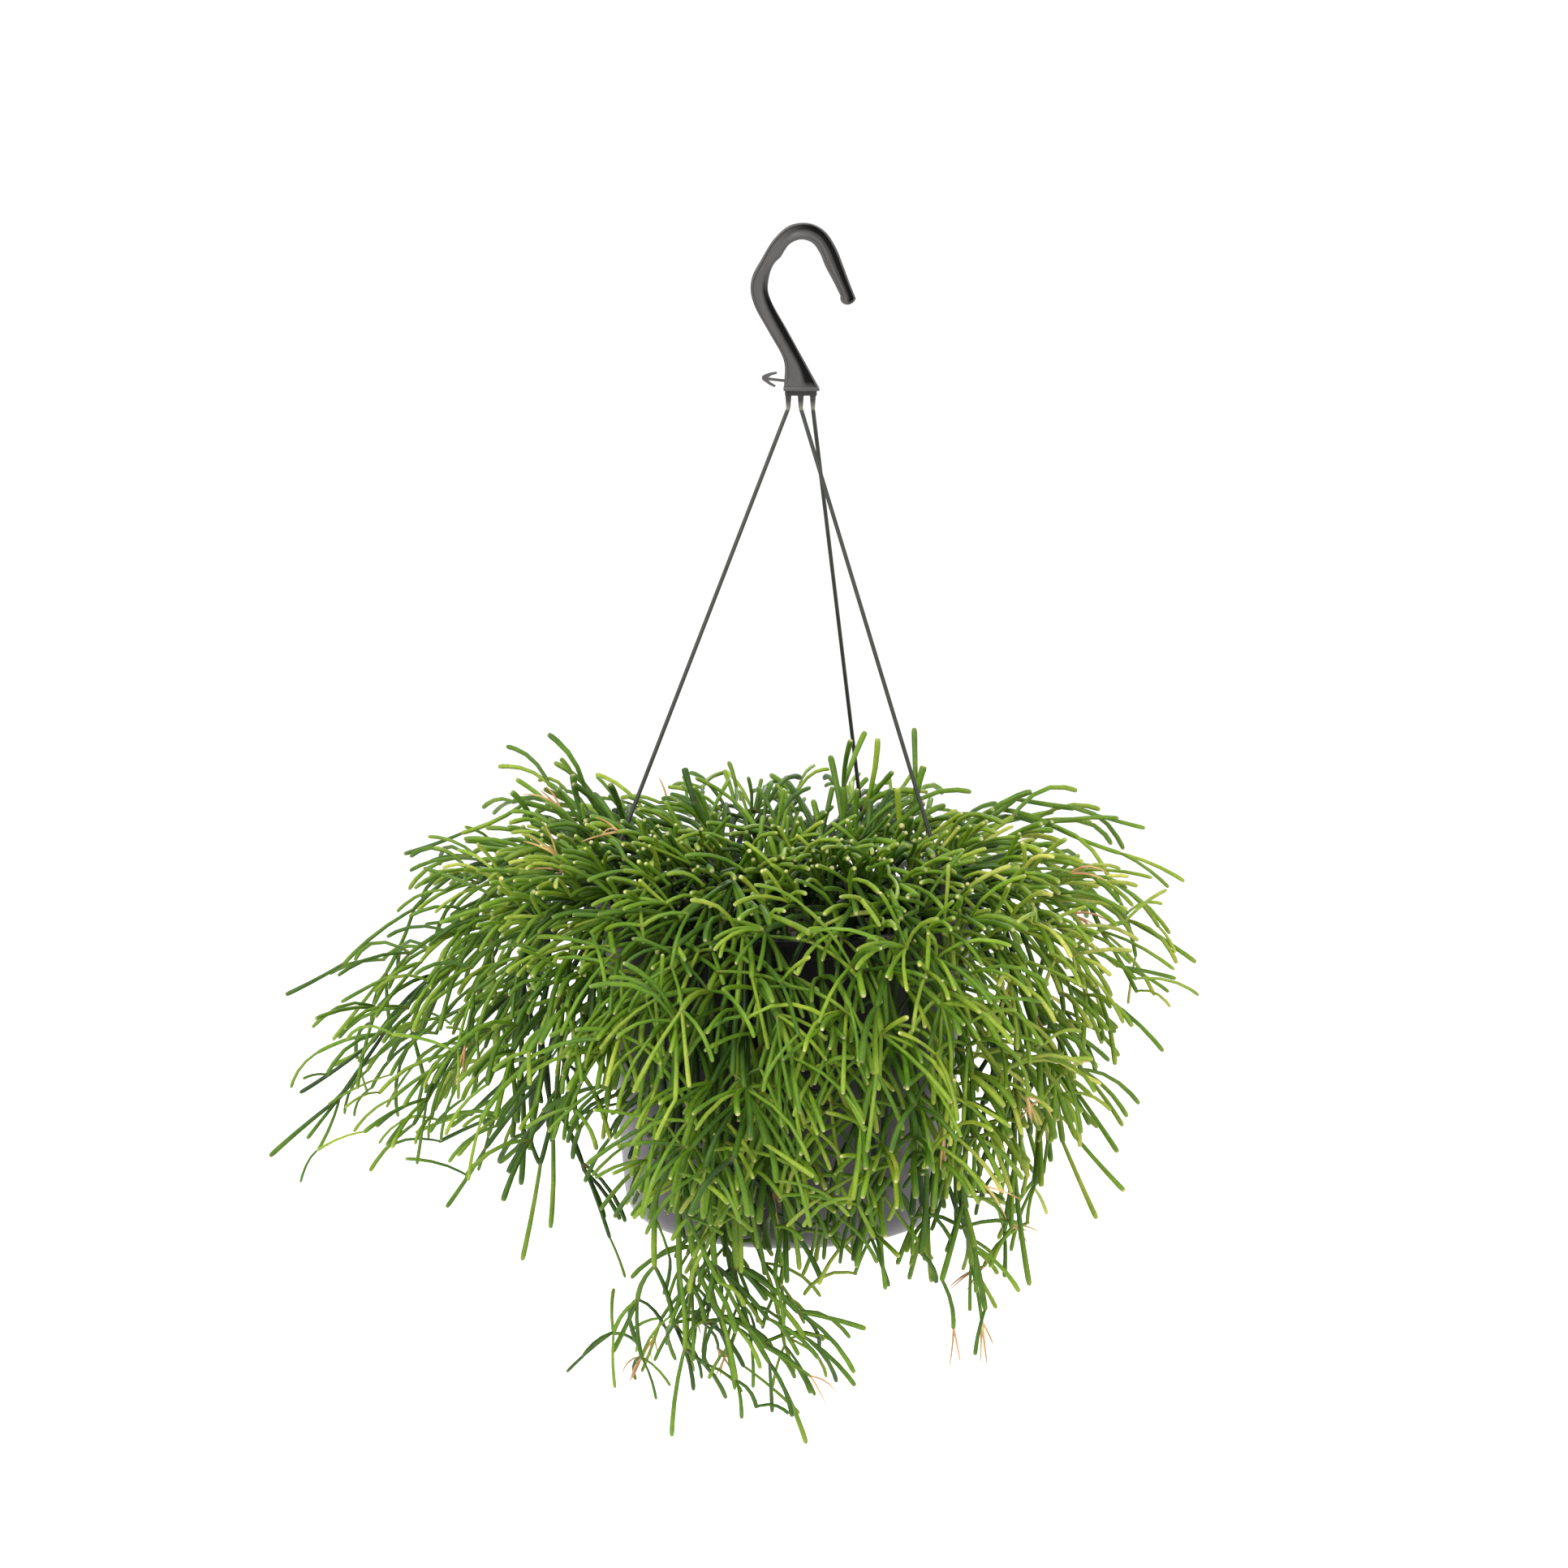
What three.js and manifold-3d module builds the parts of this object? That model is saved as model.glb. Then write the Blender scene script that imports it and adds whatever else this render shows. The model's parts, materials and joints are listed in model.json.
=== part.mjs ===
// A hanging potted rhipsalis: a plastic hook, three rods with clips, a round pot, soil and branching stems.
// Millimetres, +Z up. The origin is the hook's saddle, where a rail carries the plant. +X is to the right in
// the front view and +Y points away from the viewer.

import * as THREE from 'three';
import * as BufferGeometryUtils from 'three/addons/utils/BufferGeometryUtils.js';
import Module from 'manifold-3d';

const wasm = await Module();
wasm.setup();

// Gap between pieces that touch on the real thing
const CLEARANCE = 0.3;

// Pot, a shell of revolution about a vertical axis. Heights in its own frame start at the rim's top.
const POT_AXIS_X = -5.6;
const RIM_TOP_Z = -255;
const POT_HEIGHT = 123;
const POT_WALL = 1.6;
const RIM_RADIUS = 76.8;
const RIM_THICKNESS = 2;
const RIM_SKIRT = 7;
const SKIRT_WALL = 1.2;
const WALL_TOP_RADIUS = 72.4;
const WALL_FOOT_RADIUS = 62.8;
const FOOT_ROUND_HEIGHT = 12;
const BASE_FLAT_RADIUS = 50;
const POT_FACETS = 36;
const DRAIN_COUNT = 6;
const DRAIN_RADIUS = 4;
const DRAIN_CIRCLE_RADIUS = 32;

// Soil, in the pot's frame
const SOIL_EDGE_DEPTH = 15;
const SOIL_CENTRE_DEPTH = 12;
const ROOT_DEPTH = 12;
const HOLE_SIDES = 4;

// Hanger rods: the foot of each rod in the hook's row of legs, and the clip's angle round the pot
const RODS = [
  { name: 'left', legX: -4.6, angle: -155 },
  { name: 'right', legX: 0.1, angle: -37 },
  { name: 'back', legX: 4.7, angle: 65 },
];
const ROD_RADIUS = 0.9;
const LEG_TOP_RADIUS = 1.4;
const LEG_END_RADIUS = 0.8;
const LEG_LENGTH = 7;
const LEG_ROD_GAP = 0.7;
const LEG_FACETS = 8;
const ROD_FACETS = 6;
const LEG_SUNK = 0.4;
const CLIP_CIRCLE_RADIUS = 74.1;
const CLIP_THICKNESS = 1.2;
const CLIP_WIDTH = 6.2;
const CLIP_BARB_WIDTH = 9.4;
const CLIP_BARB_LENGTH = 6;
const CLIP_NECK_TOP = 19;
const CLIP_NECK_BOTTOM = 13;
const CLIP_ROOM = 0.4;
const SLOT_DEPTH = 2;

// Hook, a flat moulding with a thin web between raised edges
const HOOK_DEPTH = 5.6;
const HOOK_WEB = 2.2;
const HOOK_EDGE = 1.2;
const HOOK_STATIONS = 21;
const RECESS_END_SHARE = 0.015;
const PLATE_X = [-6.5, 7.2];
const PLATE_OVERHANG = 0.9;
const PLATE_TOP_Z = -55.4;
const PLATE_BOTTOM_Z = -56.9;
const LEG_WEB_BOTTOM_Z = -58.8;
const LEG_WEB_X = [-5.9, 6.2];
const LEG_WEB_HALF_DEPTH = 1.4;
const LEG_WEB_SUNK = 0.5;

// Outline of the hook from its tip over the saddle to its foot: the outside and the inside edge
const HOOK_OUTSIDE = [
  [20.9, -22.1], [18.5, -16.1], [16.1, -9.7], [13.4, -3.1], [9.4, 2.9], [5, 5.7], [0.9, 6.3], [-4.6, 5],
  [-10, 0.2], [-14.8, -7.4], [-18.2, -13.7], [-18.9, -18.9], [-17.5, -24.6], [-12.4, -34], [-7.1, -43.4],
  [-6, -47.2], [-6.3, -55.7],
];
const HOOK_INSIDE = [
  [15.1, -21.2], [12.4, -15.8], [9.3, -10], [7.2, -5], [4.3, -1.2], [0, 0], [-4.1, -1.7], [-6.3, -4.6],
  [-7.5, -6.6], [-9.7, -8.7], [-11.2, -11.6], [-12.1, -15.3], [-12.3, -19.2], [-10.9, -23.5],
  [-5.2, -33.7], [0.5, -44], [7, -55.7],
];
const HOOK_TIP = [[18.9, -24.1], [17.2, -24.4], [15.6, -23.4]];

// Barbed pin for a tag, on the hook's side
const TAG_PIN = [
  [-5.5, -52.7], [-12.2, -51.9], [-11, -51.1], [-8.9, -50.5], [-9, -49.7], [-11.6, -50.1],
  [-13.6, -50.8], [-14.5, -51.4], [-14.7, -52.2], [-14.3, -53], [-13.5, -53.5], [-12, -54.6],
  [-9.9, -55.6], [-9.3, -55], [-11, -53.9], [-12.2, -53], [-5.5, -53.7],
];
const TAG_PIN_THICKNESS = 0.9;

// Angle round the pot that faces the viewer
const FRONT = -90;

function radians(degrees) {
  return THREE.MathUtils.degToRad(degrees);
}

// Joins and cuts

function solid(geometry) {
  const bare = geometry.clone();
  bare.deleteAttribute('normal');
  bare.deleteAttribute('uv');
  const merged = BufferGeometryUtils.mergeVertices(bare, 1e-4);
  const index = merged.index.array;
  const triangles = [];
  for (let i = 0; i < index.length; i += 3) {
    const [a, b, c] = [index[i], index[i + 1], index[i + 2]];
    if (a !== b && b !== c && c !== a) {
      triangles.push(a, b, c);
    }
  }
  return new wasm.Manifold(new wasm.Mesh({
    numProp: 3,
    vertProperties: merged.attributes.position.array,
    triVerts: Uint32Array.from(triangles),
  }));
}

function geometryOf(body) {
  const mesh = body.getMesh();
  const geometry = new THREE.BufferGeometry();
  geometry.setAttribute('position', new THREE.BufferAttribute(mesh.vertProperties, 3));
  geometry.setIndex(new THREE.BufferAttribute(mesh.triVerts, 1));
  return geometry;
}

function united(geometries) {
  const [first, ...rest] = geometries;
  return rest.reduce((whole, piece) => whole.add(solid(piece)), solid(first));
}

function cutBy(body, geometries) {
  return geometries.reduce((whole, piece) => whole.subtract(solid(piece)), body);
}

// Shapes

function lathe(profile, facets) {
  const points = profile.map(([radius, height]) => new THREE.Vector2(radius, height));
  return new THREE.LatheGeometry(points, facets).rotateX(Math.PI / 2);
}

// An outline in X and Z, as thick as told along Y and centred on it
function plate(outline, depth) {
  const shape = new THREE.Shape(outline.map(([x, z]) => new THREE.Vector2(x, z)));
  const geometry = new THREE.ExtrudeGeometry(shape, { depth, bevelEnabled: false, curveSegments: 4 });
  return geometry.rotateX(Math.PI / 2).translate(0, depth / 2, 0);
}

function block(low, high) {
  const size = high.map((value, axis) => value - low[axis]);
  const centre = high.map((value, axis) => (value + low[axis]) / 2);
  return new THREE.BoxGeometry(...size).translate(...centre);
}

// A round bar between two points
function bar(start, end, startRadius, endRadius, facets) {
  const along = end.clone().sub(start);
  const geometry = new THREE.CylinderGeometry(endRadius, startRadius, along.length(), facets);
  const upright = new THREE.Vector3(0, 1, 0);
  const turn = new THREE.Quaternion().setFromUnitVectors(upright, along.clone().normalize());
  return geometry.applyQuaternion(turn).translate(...start.clone().add(end).multiplyScalar(0.5).toArray());
}

// Pot and soil

function footCurve(inset, steps) {
  const flat = new THREE.Vector2(BASE_FLAT_RADIUS, -POT_HEIGHT + inset);
  const corner = new THREE.Vector2(WALL_FOOT_RADIUS - 1 - inset, -POT_HEIGHT + inset);
  const wall = new THREE.Vector2(WALL_FOOT_RADIUS - inset, -POT_HEIGHT + FOOT_ROUND_HEIGHT);
  return new THREE.QuadraticBezierCurve(flat, corner, wall).getPoints(steps).map((p) => [p.x, p.y]);
}

// Radius of the pot's wall at a height in the pot's frame
function wallRadius(height, wallHeight = POT_HEIGHT - FOOT_ROUND_HEIGHT) {
  const down = (-height) / wallHeight;
  return WALL_TOP_RADIUS + (WALL_FOOT_RADIUS - WALL_TOP_RADIUS) * Math.min(Math.max(down, 0), 1);
}

function potGeometry() {
  const innerTop = WALL_TOP_RADIUS - POT_WALL;
  const profile = [
    [0, -POT_HEIGHT],
    ...footCurve(0, 3),
    [WALL_TOP_RADIUS, -RIM_THICKNESS],
    [RIM_RADIUS - SKIRT_WALL, -RIM_THICKNESS],
    [RIM_RADIUS - SKIRT_WALL, -RIM_SKIRT],
    [RIM_RADIUS, -RIM_SKIRT],
    [RIM_RADIUS, -0.8],
    [RIM_RADIUS - 0.8, 0],
    [innerTop, 0],
    ...footCurve(POT_WALL, 3).reverse(),
    [0, -POT_HEIGHT + POT_WALL],
  ];
  const cuts = [];
  for (let i = 0; i < DRAIN_COUNT; i += 1) {
    const angle = (2 * Math.PI * (i + 0.5)) / DRAIN_COUNT;
    const drain = new THREE.CylinderGeometry(DRAIN_RADIUS, DRAIN_RADIUS, 6, 10).rotateX(Math.PI / 2);
    const [x, y] = [DRAIN_CIRCLE_RADIUS * Math.cos(angle), DRAIN_CIRCLE_RADIUS * Math.sin(angle)];
    cuts.push(drain.translate(x, y, -POT_HEIGHT));
  }
  for (const rod of RODS) {
    const half = CLIP_WIDTH / 2 + CLEARANCE;
    const low = [CLIP_CIRCLE_RADIUS - SLOT_DEPTH / 2, -half, -RIM_THICKNESS - 1];
    const high = [CLIP_CIRCLE_RADIUS + SLOT_DEPTH / 2, half, 1];
    cuts.push(block(low, high).rotateZ(radians(rod.angle)));
  }
  return geometryOf(cutBy(solid(lathe(profile, POT_FACETS)), cuts));
}

function soilGeometry(roots) {
  const inset = POT_WALL + CLEARANCE;
  const profile = [
    [0, -POT_HEIGHT + inset],
    ...footCurve(inset, 1),
    [wallRadius(-SOIL_EDGE_DEPTH) - inset, -SOIL_EDGE_DEPTH],
    [48, -SOIL_CENTRE_DEPTH - 0.6],
    [0, -SOIL_CENTRE_DEPTH],
  ];
  const holeRadius = (ROOT_RADIUS + CLEARANCE) / Math.cos(Math.PI / HOLE_SIDES);
  const holes = roots.map(([x, y]) => {
    const depth = ROOT_DEPTH + SOIL_CENTRE_DEPTH + CLEARANCE;
    const hole = new THREE.CylinderGeometry(holeRadius, holeRadius, depth, HOLE_SIDES);
    return hole.rotateX(Math.PI / 2).translate(x - POT_AXIS_X, y, -depth / 2);
  });
  return geometryOf(cutBy(solid(lathe(profile, POT_FACETS)), holes));
}

// Hook and rods

function edgeCurve(points) {
  const stations = points.map(([x, z]) => new THREE.Vector3(x, 0, z));
  return new THREE.CatmullRomCurve3(stations, false, 'centripetal');
}

// Points along an edge of the hook, moved inward by the given width
function edgePoints(points, inward, from, to) {
  const curve = edgeCurve(points);
  const found = [];
  for (let i = 0; i <= HOOK_STATIONS; i += 1) {
    const t = from + ((to - from) * i) / HOOK_STATIONS;
    const place = curve.getPointAt(t);
    const along = curve.getTangentAt(t);
    found.push([place.x - along.z * inward, place.z + along.x * inward]);
  }
  return found;
}

function hookGeometry() {
  const outside = edgePoints(HOOK_OUTSIDE, 0, 0, 1).reverse();
  const outline = [...outside, ...HOOK_TIP, ...edgePoints(HOOK_INSIDE, 0, 0, 1)];
  const recess = [
    ...edgePoints(HOOK_OUTSIDE, HOOK_EDGE, RECESS_END_SHARE, 1 - RECESS_END_SHARE).reverse(),
    ...edgePoints(HOOK_INSIDE, -HOOK_EDGE, RECESS_END_SHARE, 1 - RECESS_END_SHARE),
  ];
  const recessDepth = (HOOK_DEPTH - HOOK_WEB) / 2;
  const recessShift = HOOK_WEB / 2 + recessDepth;
  const blank = solid(plate(outline, HOOK_DEPTH));
  const front = plate(recess, 2 * recessDepth).translate(0, -recessShift, 0);
  const back = plate(recess, 2 * recessDepth).translate(0, recessShift, 0);
  const moulding = cutBy(blank, [front, back]);
  const plateHalf = HOOK_DEPTH / 2 + PLATE_OVERHANG;
  const trim = [
    block([PLATE_X[0], -plateHalf, PLATE_BOTTOM_Z], [PLATE_X[1], plateHalf, PLATE_TOP_Z]),
    block(
      [LEG_WEB_X[0], -LEG_WEB_HALF_DEPTH, LEG_WEB_BOTTOM_Z],
      [LEG_WEB_X[1], LEG_WEB_HALF_DEPTH, PLATE_BOTTOM_Z + LEG_WEB_SUNK],
    ),
    plate(TAG_PIN, TAG_PIN_THICKNESS),
    ...RODS.map((rod) => {
      const legTop = new THREE.Vector3(rod.legX, 0, PLATE_BOTTOM_Z + LEG_SUNK);
      const legEnd = new THREE.Vector3(rod.legX, 0, legTop.z - LEG_LENGTH);
      return bar(legTop, legEnd, LEG_TOP_RADIUS, LEG_END_RADIUS, LEG_FACETS);
    }),
  ];
  return geometryOf(trim.reduce((whole, piece) => whole.add(solid(piece)), moulding));
}

// The straight line of a rod, from the end of its leg to the top of its clip
function rodLine(rod) {
  const angle = radians(rod.angle);
  const start = new THREE.Vector3(rod.legX, 0, PLATE_BOTTOM_Z + LEG_SUNK - LEG_LENGTH);
  const end = new THREE.Vector3(
    POT_AXIS_X + CLIP_CIRCLE_RADIUS * Math.cos(angle),
    CLIP_CIRCLE_RADIUS * Math.sin(angle),
    RIM_TOP_Z + CLIP_NECK_TOP - 1,
  );
  return { start, end };
}

function rodGeometry(rod) {
  const { start, end } = rodLine(rod);
  const along = end.clone().sub(start).normalize();
  const top = start.clone().addScaledVector(along, LEG_ROD_GAP);
  const half = CLIP_WIDTH / 2;
  const barbTop = -RIM_THICKNESS - CLEARANCE;
  const barbHalf = CLIP_BARB_WIDTH / 2;
  const outline = [
    [-1, CLIP_NECK_TOP], [-half, CLIP_NECK_BOTTOM], [-half, barbTop], [-barbHalf, barbTop],
    [-1.8, barbTop - CLIP_BARB_LENGTH], [1.8, barbTop - CLIP_BARB_LENGTH],
    [barbHalf, barbTop], [half, barbTop], [half, CLIP_NECK_BOTTOM], [1, CLIP_NECK_TOP],
  ];
  const clip = plate(outline, CLIP_THICKNESS).rotateZ(Math.PI / 2).translate(CLIP_CIRCLE_RADIUS, 0, 0);
  clip.rotateZ(radians(rod.angle)).translate(POT_AXIS_X, 0, RIM_TOP_Z);
  return geometryOf(united([bar(top, end, ROD_RADIUS, ROD_RADIUS, ROD_FACETS), clip]));
}

// Stems
// Each spray is one branching stem: a leader that arches from the soil to its aim, side shoots at its
// joints, and forked tips. Points are [x, y, z] in the part's frame.

const SEED = 31;
const ROOT_RADIUS = 2;
const LEADER_RADIUS = 1.8;
const SHOOT_RADIUS = 1.6;
const LEADER_TAPER = 0.35;
const SHOOT_TAPER = 0.25;
const STEM_GAP = 0.6;
const SEGMENT_LENGTH = 33;
const CROWN_SEGMENT_LENGTH = 25;
const COLLAR = 2;
const SHORTEST_SEGMENT = 13;

// Limits on directions: between neighbours at a joint, along a stem, and of a child over its face
const NEAREST_COSINE = 0.96;
const BEND_COSINE = 0.62;
const FIRST_BEND_COSINE = 0.3;
const FACE_RISE = 0.36;
const FACE_LEAN = 0.2;
const FACE_MARGIN = 0.02;

const CORNER_COSINE = [1, -0.5, -0.5];
const CORNER_SINE = [0, Math.sqrt(0.75), -Math.sqrt(0.75)];
const GOLDEN_ANGLE = 137.508;

const LEADER_ATTEMPTS = 12;
const LEADER_TRIES = 120;
const SHOOT_TRIES = 26;
const BASE_KEEP_OUT_RADIUS = 74;
const BASE_KEEP_OUT_BELOW = -106;
const WALL_KEEP_OUT_HEIGHT = 114;
const POT_ROOM = 0.6;
const PATH_CHECKS = 8;
const ROOT_SPACING = 7;
const ROOT_TURN = 9;
const ROOT_SHIFT = 0.8;
const SOIL_TOP_Z = RIM_TOP_Z - SOIL_CENTRE_DEPTH;

// Tips that stand out furthest, with the root's angle round the pot and how far the arch rises over the soil
const REACHING = [
  { aim: [-204, -25, -349], root: 190, rise: 46 },
  { aim: [-201, 10, -293], root: 176, rise: 55 },
  { aim: [-194, -8, -328], root: 182, rise: 42 },
  { aim: [-156, 32, -241], root: 165, rise: 52 },
  { aim: [-164, -40, -351], root: 200, rise: 44 },
  { aim: [-104, -76, -376], root: 222, rise: 46 },
  { aim: [152.4, -10, -276], root: -4, rise: 50 },
  { aim: [137, -46, -303], root: -22, rise: 45 },
  { aim: [121, -70, -351], root: -34, rise: 46 },
  { aim: [136, 34, -231], root: 14, rise: 48 },
  { aim: [68, -96, -389], root: -54, rise: 46 },
  { aim: [18, 150, -322], root: 82, rise: 46 },
  { aim: [-60, 140, -300], root: 115, rise: 52 },
  { aim: [80, 128, -305], root: 55, rise: 50 },
  { aim: [-24, -150, -318], root: -100, rise: 56 },
  { aim: [40, -144, -300], root: -70, rise: 58 },
  { aim: [150, 16, -249], root: 7, rise: 52 },
  { aim: [-150, -12, -272], root: 186, rise: 52 },
  { aim: [112, -54, -366], root: -29, rise: 50 },
  { aim: [-134, -52, -362], root: 208, rise: 50 },
  { aim: [86, -68, -388], root: -40, rise: 46 },
  { aim: [44, -94, -368], root: -63, rise: 44 },
];

// Tips of the bunch that trails in front, lower than the pot
const TRAILING = [
  { aim: [2, -96, -440.5], root: -90, rise: 44 },
  { aim: [-48, -92, -439], root: -116, rise: 40 },
  { aim: [-70, -88, -408], root: -128, rise: 36 },
  { aim: [20, -97, -418], root: -78, rise: 38 },
  { aim: [-24, -100, -415], root: -104, rise: 46 },
  { aim: [24, -98, -396], root: -84, rise: 42 },
];

// Tips of the upright tufts in the middle
const CROWN = [
  [-38, -10, -207], [43, 6, -208], [-84, 0, -211], [17, 28, -214], [-104, 22, -218], [92, 18, -232],
  [0, -34, -238], [-20, 44, -234], [54, -38, -244], [-54, -44, -240],
  [46, 54, -240], [-66, 50, -236], [-10, 70, -242], [10, -66, -248],
];

// The first of these stand up alone over the rest: how many, how far their shoots spread, and how high they
// rise
const TUFTS = 6;
const TUFT_REACH = 17;
const TUFT_RISE = 22;

// The remaining stems hang evenly all round, near the pot and further out by turns. Each pair of numbers is
// the least and the most.
const FILLERS = 12;
const NEAR_FILLER = { reach: [90, 106], height: [-380, -330], rise: [34, 44], root: 56 };
const FAR_FILLER = { reach: [122, 150], height: [-345, -262], rise: [46, 60], root: 42 };

// How each kind grows: how strongly its shoots droop and lean outward, the angle that they leave at, their
// number at a joint, the segment's length, how far past the outline they may reach, and whether the leaders
// gather at a waist
const REACHING_HABIT = {
  droop: 0.05, outwardPull: 0.2, spread: 31, bushy: 2.1,
  segment: SEGMENT_LENGTH, margin: 20, gathered: false,
};
const TRAILING_HABIT = {
  droop: 0.04, outwardPull: 0, spread: 31, bushy: 2.1,
  segment: SEGMENT_LENGTH, margin: 0, gathered: true,
};
const CROWN_HABIT = {
  droop: 0, outwardPull: 0.1, spread: 34, bushy: 1.9,
  segment: CROWN_SEGMENT_LENGTH, margin: 0, gathered: false,
};
const FILLER_HABIT = {
  droop: 0.07, outwardPull: 0.25, spread: 33, bushy: 2.3,
  segment: SEGMENT_LENGTH, margin: 6, gathered: false,
};
const ROOT_CIRCLE_RADIUS = 57;
const ROOT_STEP_IN = 0.6;
const LOWEST_RISE = 36;
const CROWN_RISE_SHARE = 0.45;
const CROWN_FIRST_ROOT = 6;
const CROWN_ROOT_STEP = 2.2;

// The arch of a leader: its crest over the soil, and where its last control point stands for a stem that
// reaches out and, by the share that it hangs near the pot, over its aim. The trailing ones gather at a
// waist below the arch and fan out from there.
const GROUND_LIFT = 2.5;
const ARCH_RISE = 1.42;
const ARCH_LEAN = 0.3;
const ARCH_BACK = 0.4;
const ARCH_DROOP = 0.25;
const HANGING_REACH = 135;
const HANGING_RANGE = 40;
const HANGING_BACK = 0.7;
const HANGING_DROOP = 0.63;
const WAIST = [-44, -97, -374];
const WAIST_SPREAD = 0.3;
const FAN_SEGMENTS = 2;
const CURVE_SHARE = 0.9;
const WANDER = 4;
const WANDER_STEP = 0.12;
const AIM_WANDER_STEP = 0.08;

// Side shoots: their segments' lengths, how these shorten, and how far their directions waver
const SHOOT_LENGTH = [22, 35];
const SHOOT_SHORTENING = 0.12;
const SHOOT_SEGMENTS = [2, 3.3];
const MORE_SHOOTS = 1.5;
const SHOOT_TURN = 28;
const SHOOT_WAVER = 7;
const SHOOT_BEND = [3, 22];
const END_SPREAD = 26;
const FORK_SPREAD = 28;

function makeRandom(seed) {
  let state = seed;
  return () => {
    state = (state + 0x6d2b79f5) | 0;
    let mixed = Math.imul(state ^ (state >>> 15), state | 1);
    mixed ^= mixed + Math.imul(mixed ^ (mixed >>> 7), mixed | 61);
    return ((mixed ^ (mixed >>> 14)) >>> 0) / 4294967296;
  };
}

const random = makeRandom(SEED);

function between(low, high) {
  return low + (high - low) * random();
}

// Every drawn point lies on a fine grid, so that the same rule gives the same plant anywhere.
function onGrid(value) {
  return Math.floor(value * 1e6 + 0.5) / 1e6;
}

function plus(a, b, scale) {
  return [a[0] + b[0] * scale, a[1] + b[1] * scale, a[2] + b[2] * scale];
}

function dot(a, b) {
  return a[0] * b[0] + a[1] * b[1] + a[2] * b[2];
}

function unit(a) {
  const size = Math.sqrt(dot(a, a));
  return [a[0] / size, a[1] / size, a[2] / size];
}

function across(a, b) {
  return [a[1] * b[2] - a[2] * b[1], a[2] * b[0] - a[0] * b[2], a[0] * b[1] - a[1] * b[0]];
}

function cosine(degrees) {
  return onGrid(Math.cos(radians(degrees)));
}

function sine(degrees) {
  return onGrid(Math.sin(radians(degrees)));
}

// A direction that leaves the given one by an angle, towards an angle counted round it from a side vector
function splayed(heading, side, spread, towards) {
  const sideways = sine(spread);
  const away = plus([0, 0, 0], heading, cosine(spread));
  const leaning = plus(away, side, sideways * cosine(towards));
  return unit(plus(leaning, across(heading, side), sideways * sine(towards)));
}

function clamp(value) {
  return Math.min(Math.max(value, 0), 1);
}

// Distance between two straight pieces
function spacing(p, q, r, s) {
  const d1 = plus(q, p, -1);
  const d2 = plus(s, r, -1);
  const w = plus(p, r, -1);
  const a = dot(d1, d1);
  const b = dot(d1, d2);
  const c = dot(d2, d2);
  const d = dot(d1, w);
  const e = dot(d2, w);
  const crossing = a * c - b * b;
  const first = crossing > 1e-9 ? clamp((b * e - c * d) / crossing) : 0;
  const second = clamp((b * first + e) / c);
  const refined = clamp((b * second - d) / a);
  const gap = plus(plus(w, d1, refined), d2, -second);
  return Math.sqrt(dot(gap, gap));
}

// Straight pieces that new stems keep clear of: rods, clips and the stems that are there already
const placed = [];

for (const rod of RODS) {
  const { start, end } = rodLine(rod);
  const low = [end.x, end.y, RIM_TOP_Z - RIM_SKIRT];
  placed.push({ from: start.toArray(), to: end.toArray(), radius: ROD_RADIUS });
  placed.push({ from: end.toArray(), to: low, radius: CLIP_WIDTH / 2 + CLIP_ROOM });
}

function fromAxis(point) {
  return Math.sqrt((point[0] - POT_AXIS_X) ** 2 + point[1] ** 2);
}

function outward(point) {
  const reach = fromAxis(point);
  return [(point[0] - POT_AXIS_X) / reach, point[1] / reach, 0];
}

function clearOfPot(point, radius) {
  const reach = fromAxis(point);
  const height = point[2] - RIM_TOP_Z;
  const room = radius + POT_ROOM;
  if (height > room) {
    return true;
  }
  if (height > -SOIL_CENTRE_DEPTH + room && reach < WALL_TOP_RADIUS - POT_WALL - 1 - room) {
    return true;
  }
  if (height < BASE_KEEP_OUT_BELOW) {
    return reach > BASE_KEEP_OUT_RADIUS;
  }
  const isByRim = height > -RIM_SKIRT - CLIP_BARB_LENGTH;
  const outside = isByRim ? RIM_RADIUS : wallRadius(height, WALL_KEEP_OUT_HEIGHT);
  return reach > outside + room;
}

// Side shoots stay inside the plant's outline: at each height, its reach on the left and on the right
const OUTLINE = [
  [-218, 88, 84], [-226, 116, 118], [-236, 130, 124], [-250, 128, 132], [-268, 138, 138], [-280, 162, 138],
  [-292, 172, 130], [-300, 162, 128], [-318, 166, 124], [-334, 168, 118], [-344, 168, 114], [-354, 126, 112],
  [-366, 98, 110], [-380, 84, 104], [-394, 74, 88], [-404, 60, 74], [-445, 50, 50],
];
const MARGIN_BOTTOM_Z = -344;

// The trailing bunch in front reaches lower than the rest. At each height, X at its left and at its right
const BUNCH_REACH = 108;
const BUNCH = [
  [-350, -70, 10], [-384, -66, -8], [-400, -76, 8], [-412, -80, 26], [-424, -58, 16], [-436, -50, 0],
];

// The two numbers of a table's row at a height, between the rows above and below it
function rowAt(table, height) {
  const below = table.findIndex(([level]) => level <= height);
  const [high, low] = [table[below - 1], table[below]];
  const down = (high[0] - height) / (high[0] - low[0]);
  return [high[1] + (low[1] - high[1]) * down, high[2] + (low[2] - high[2]) * down];
}

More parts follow.
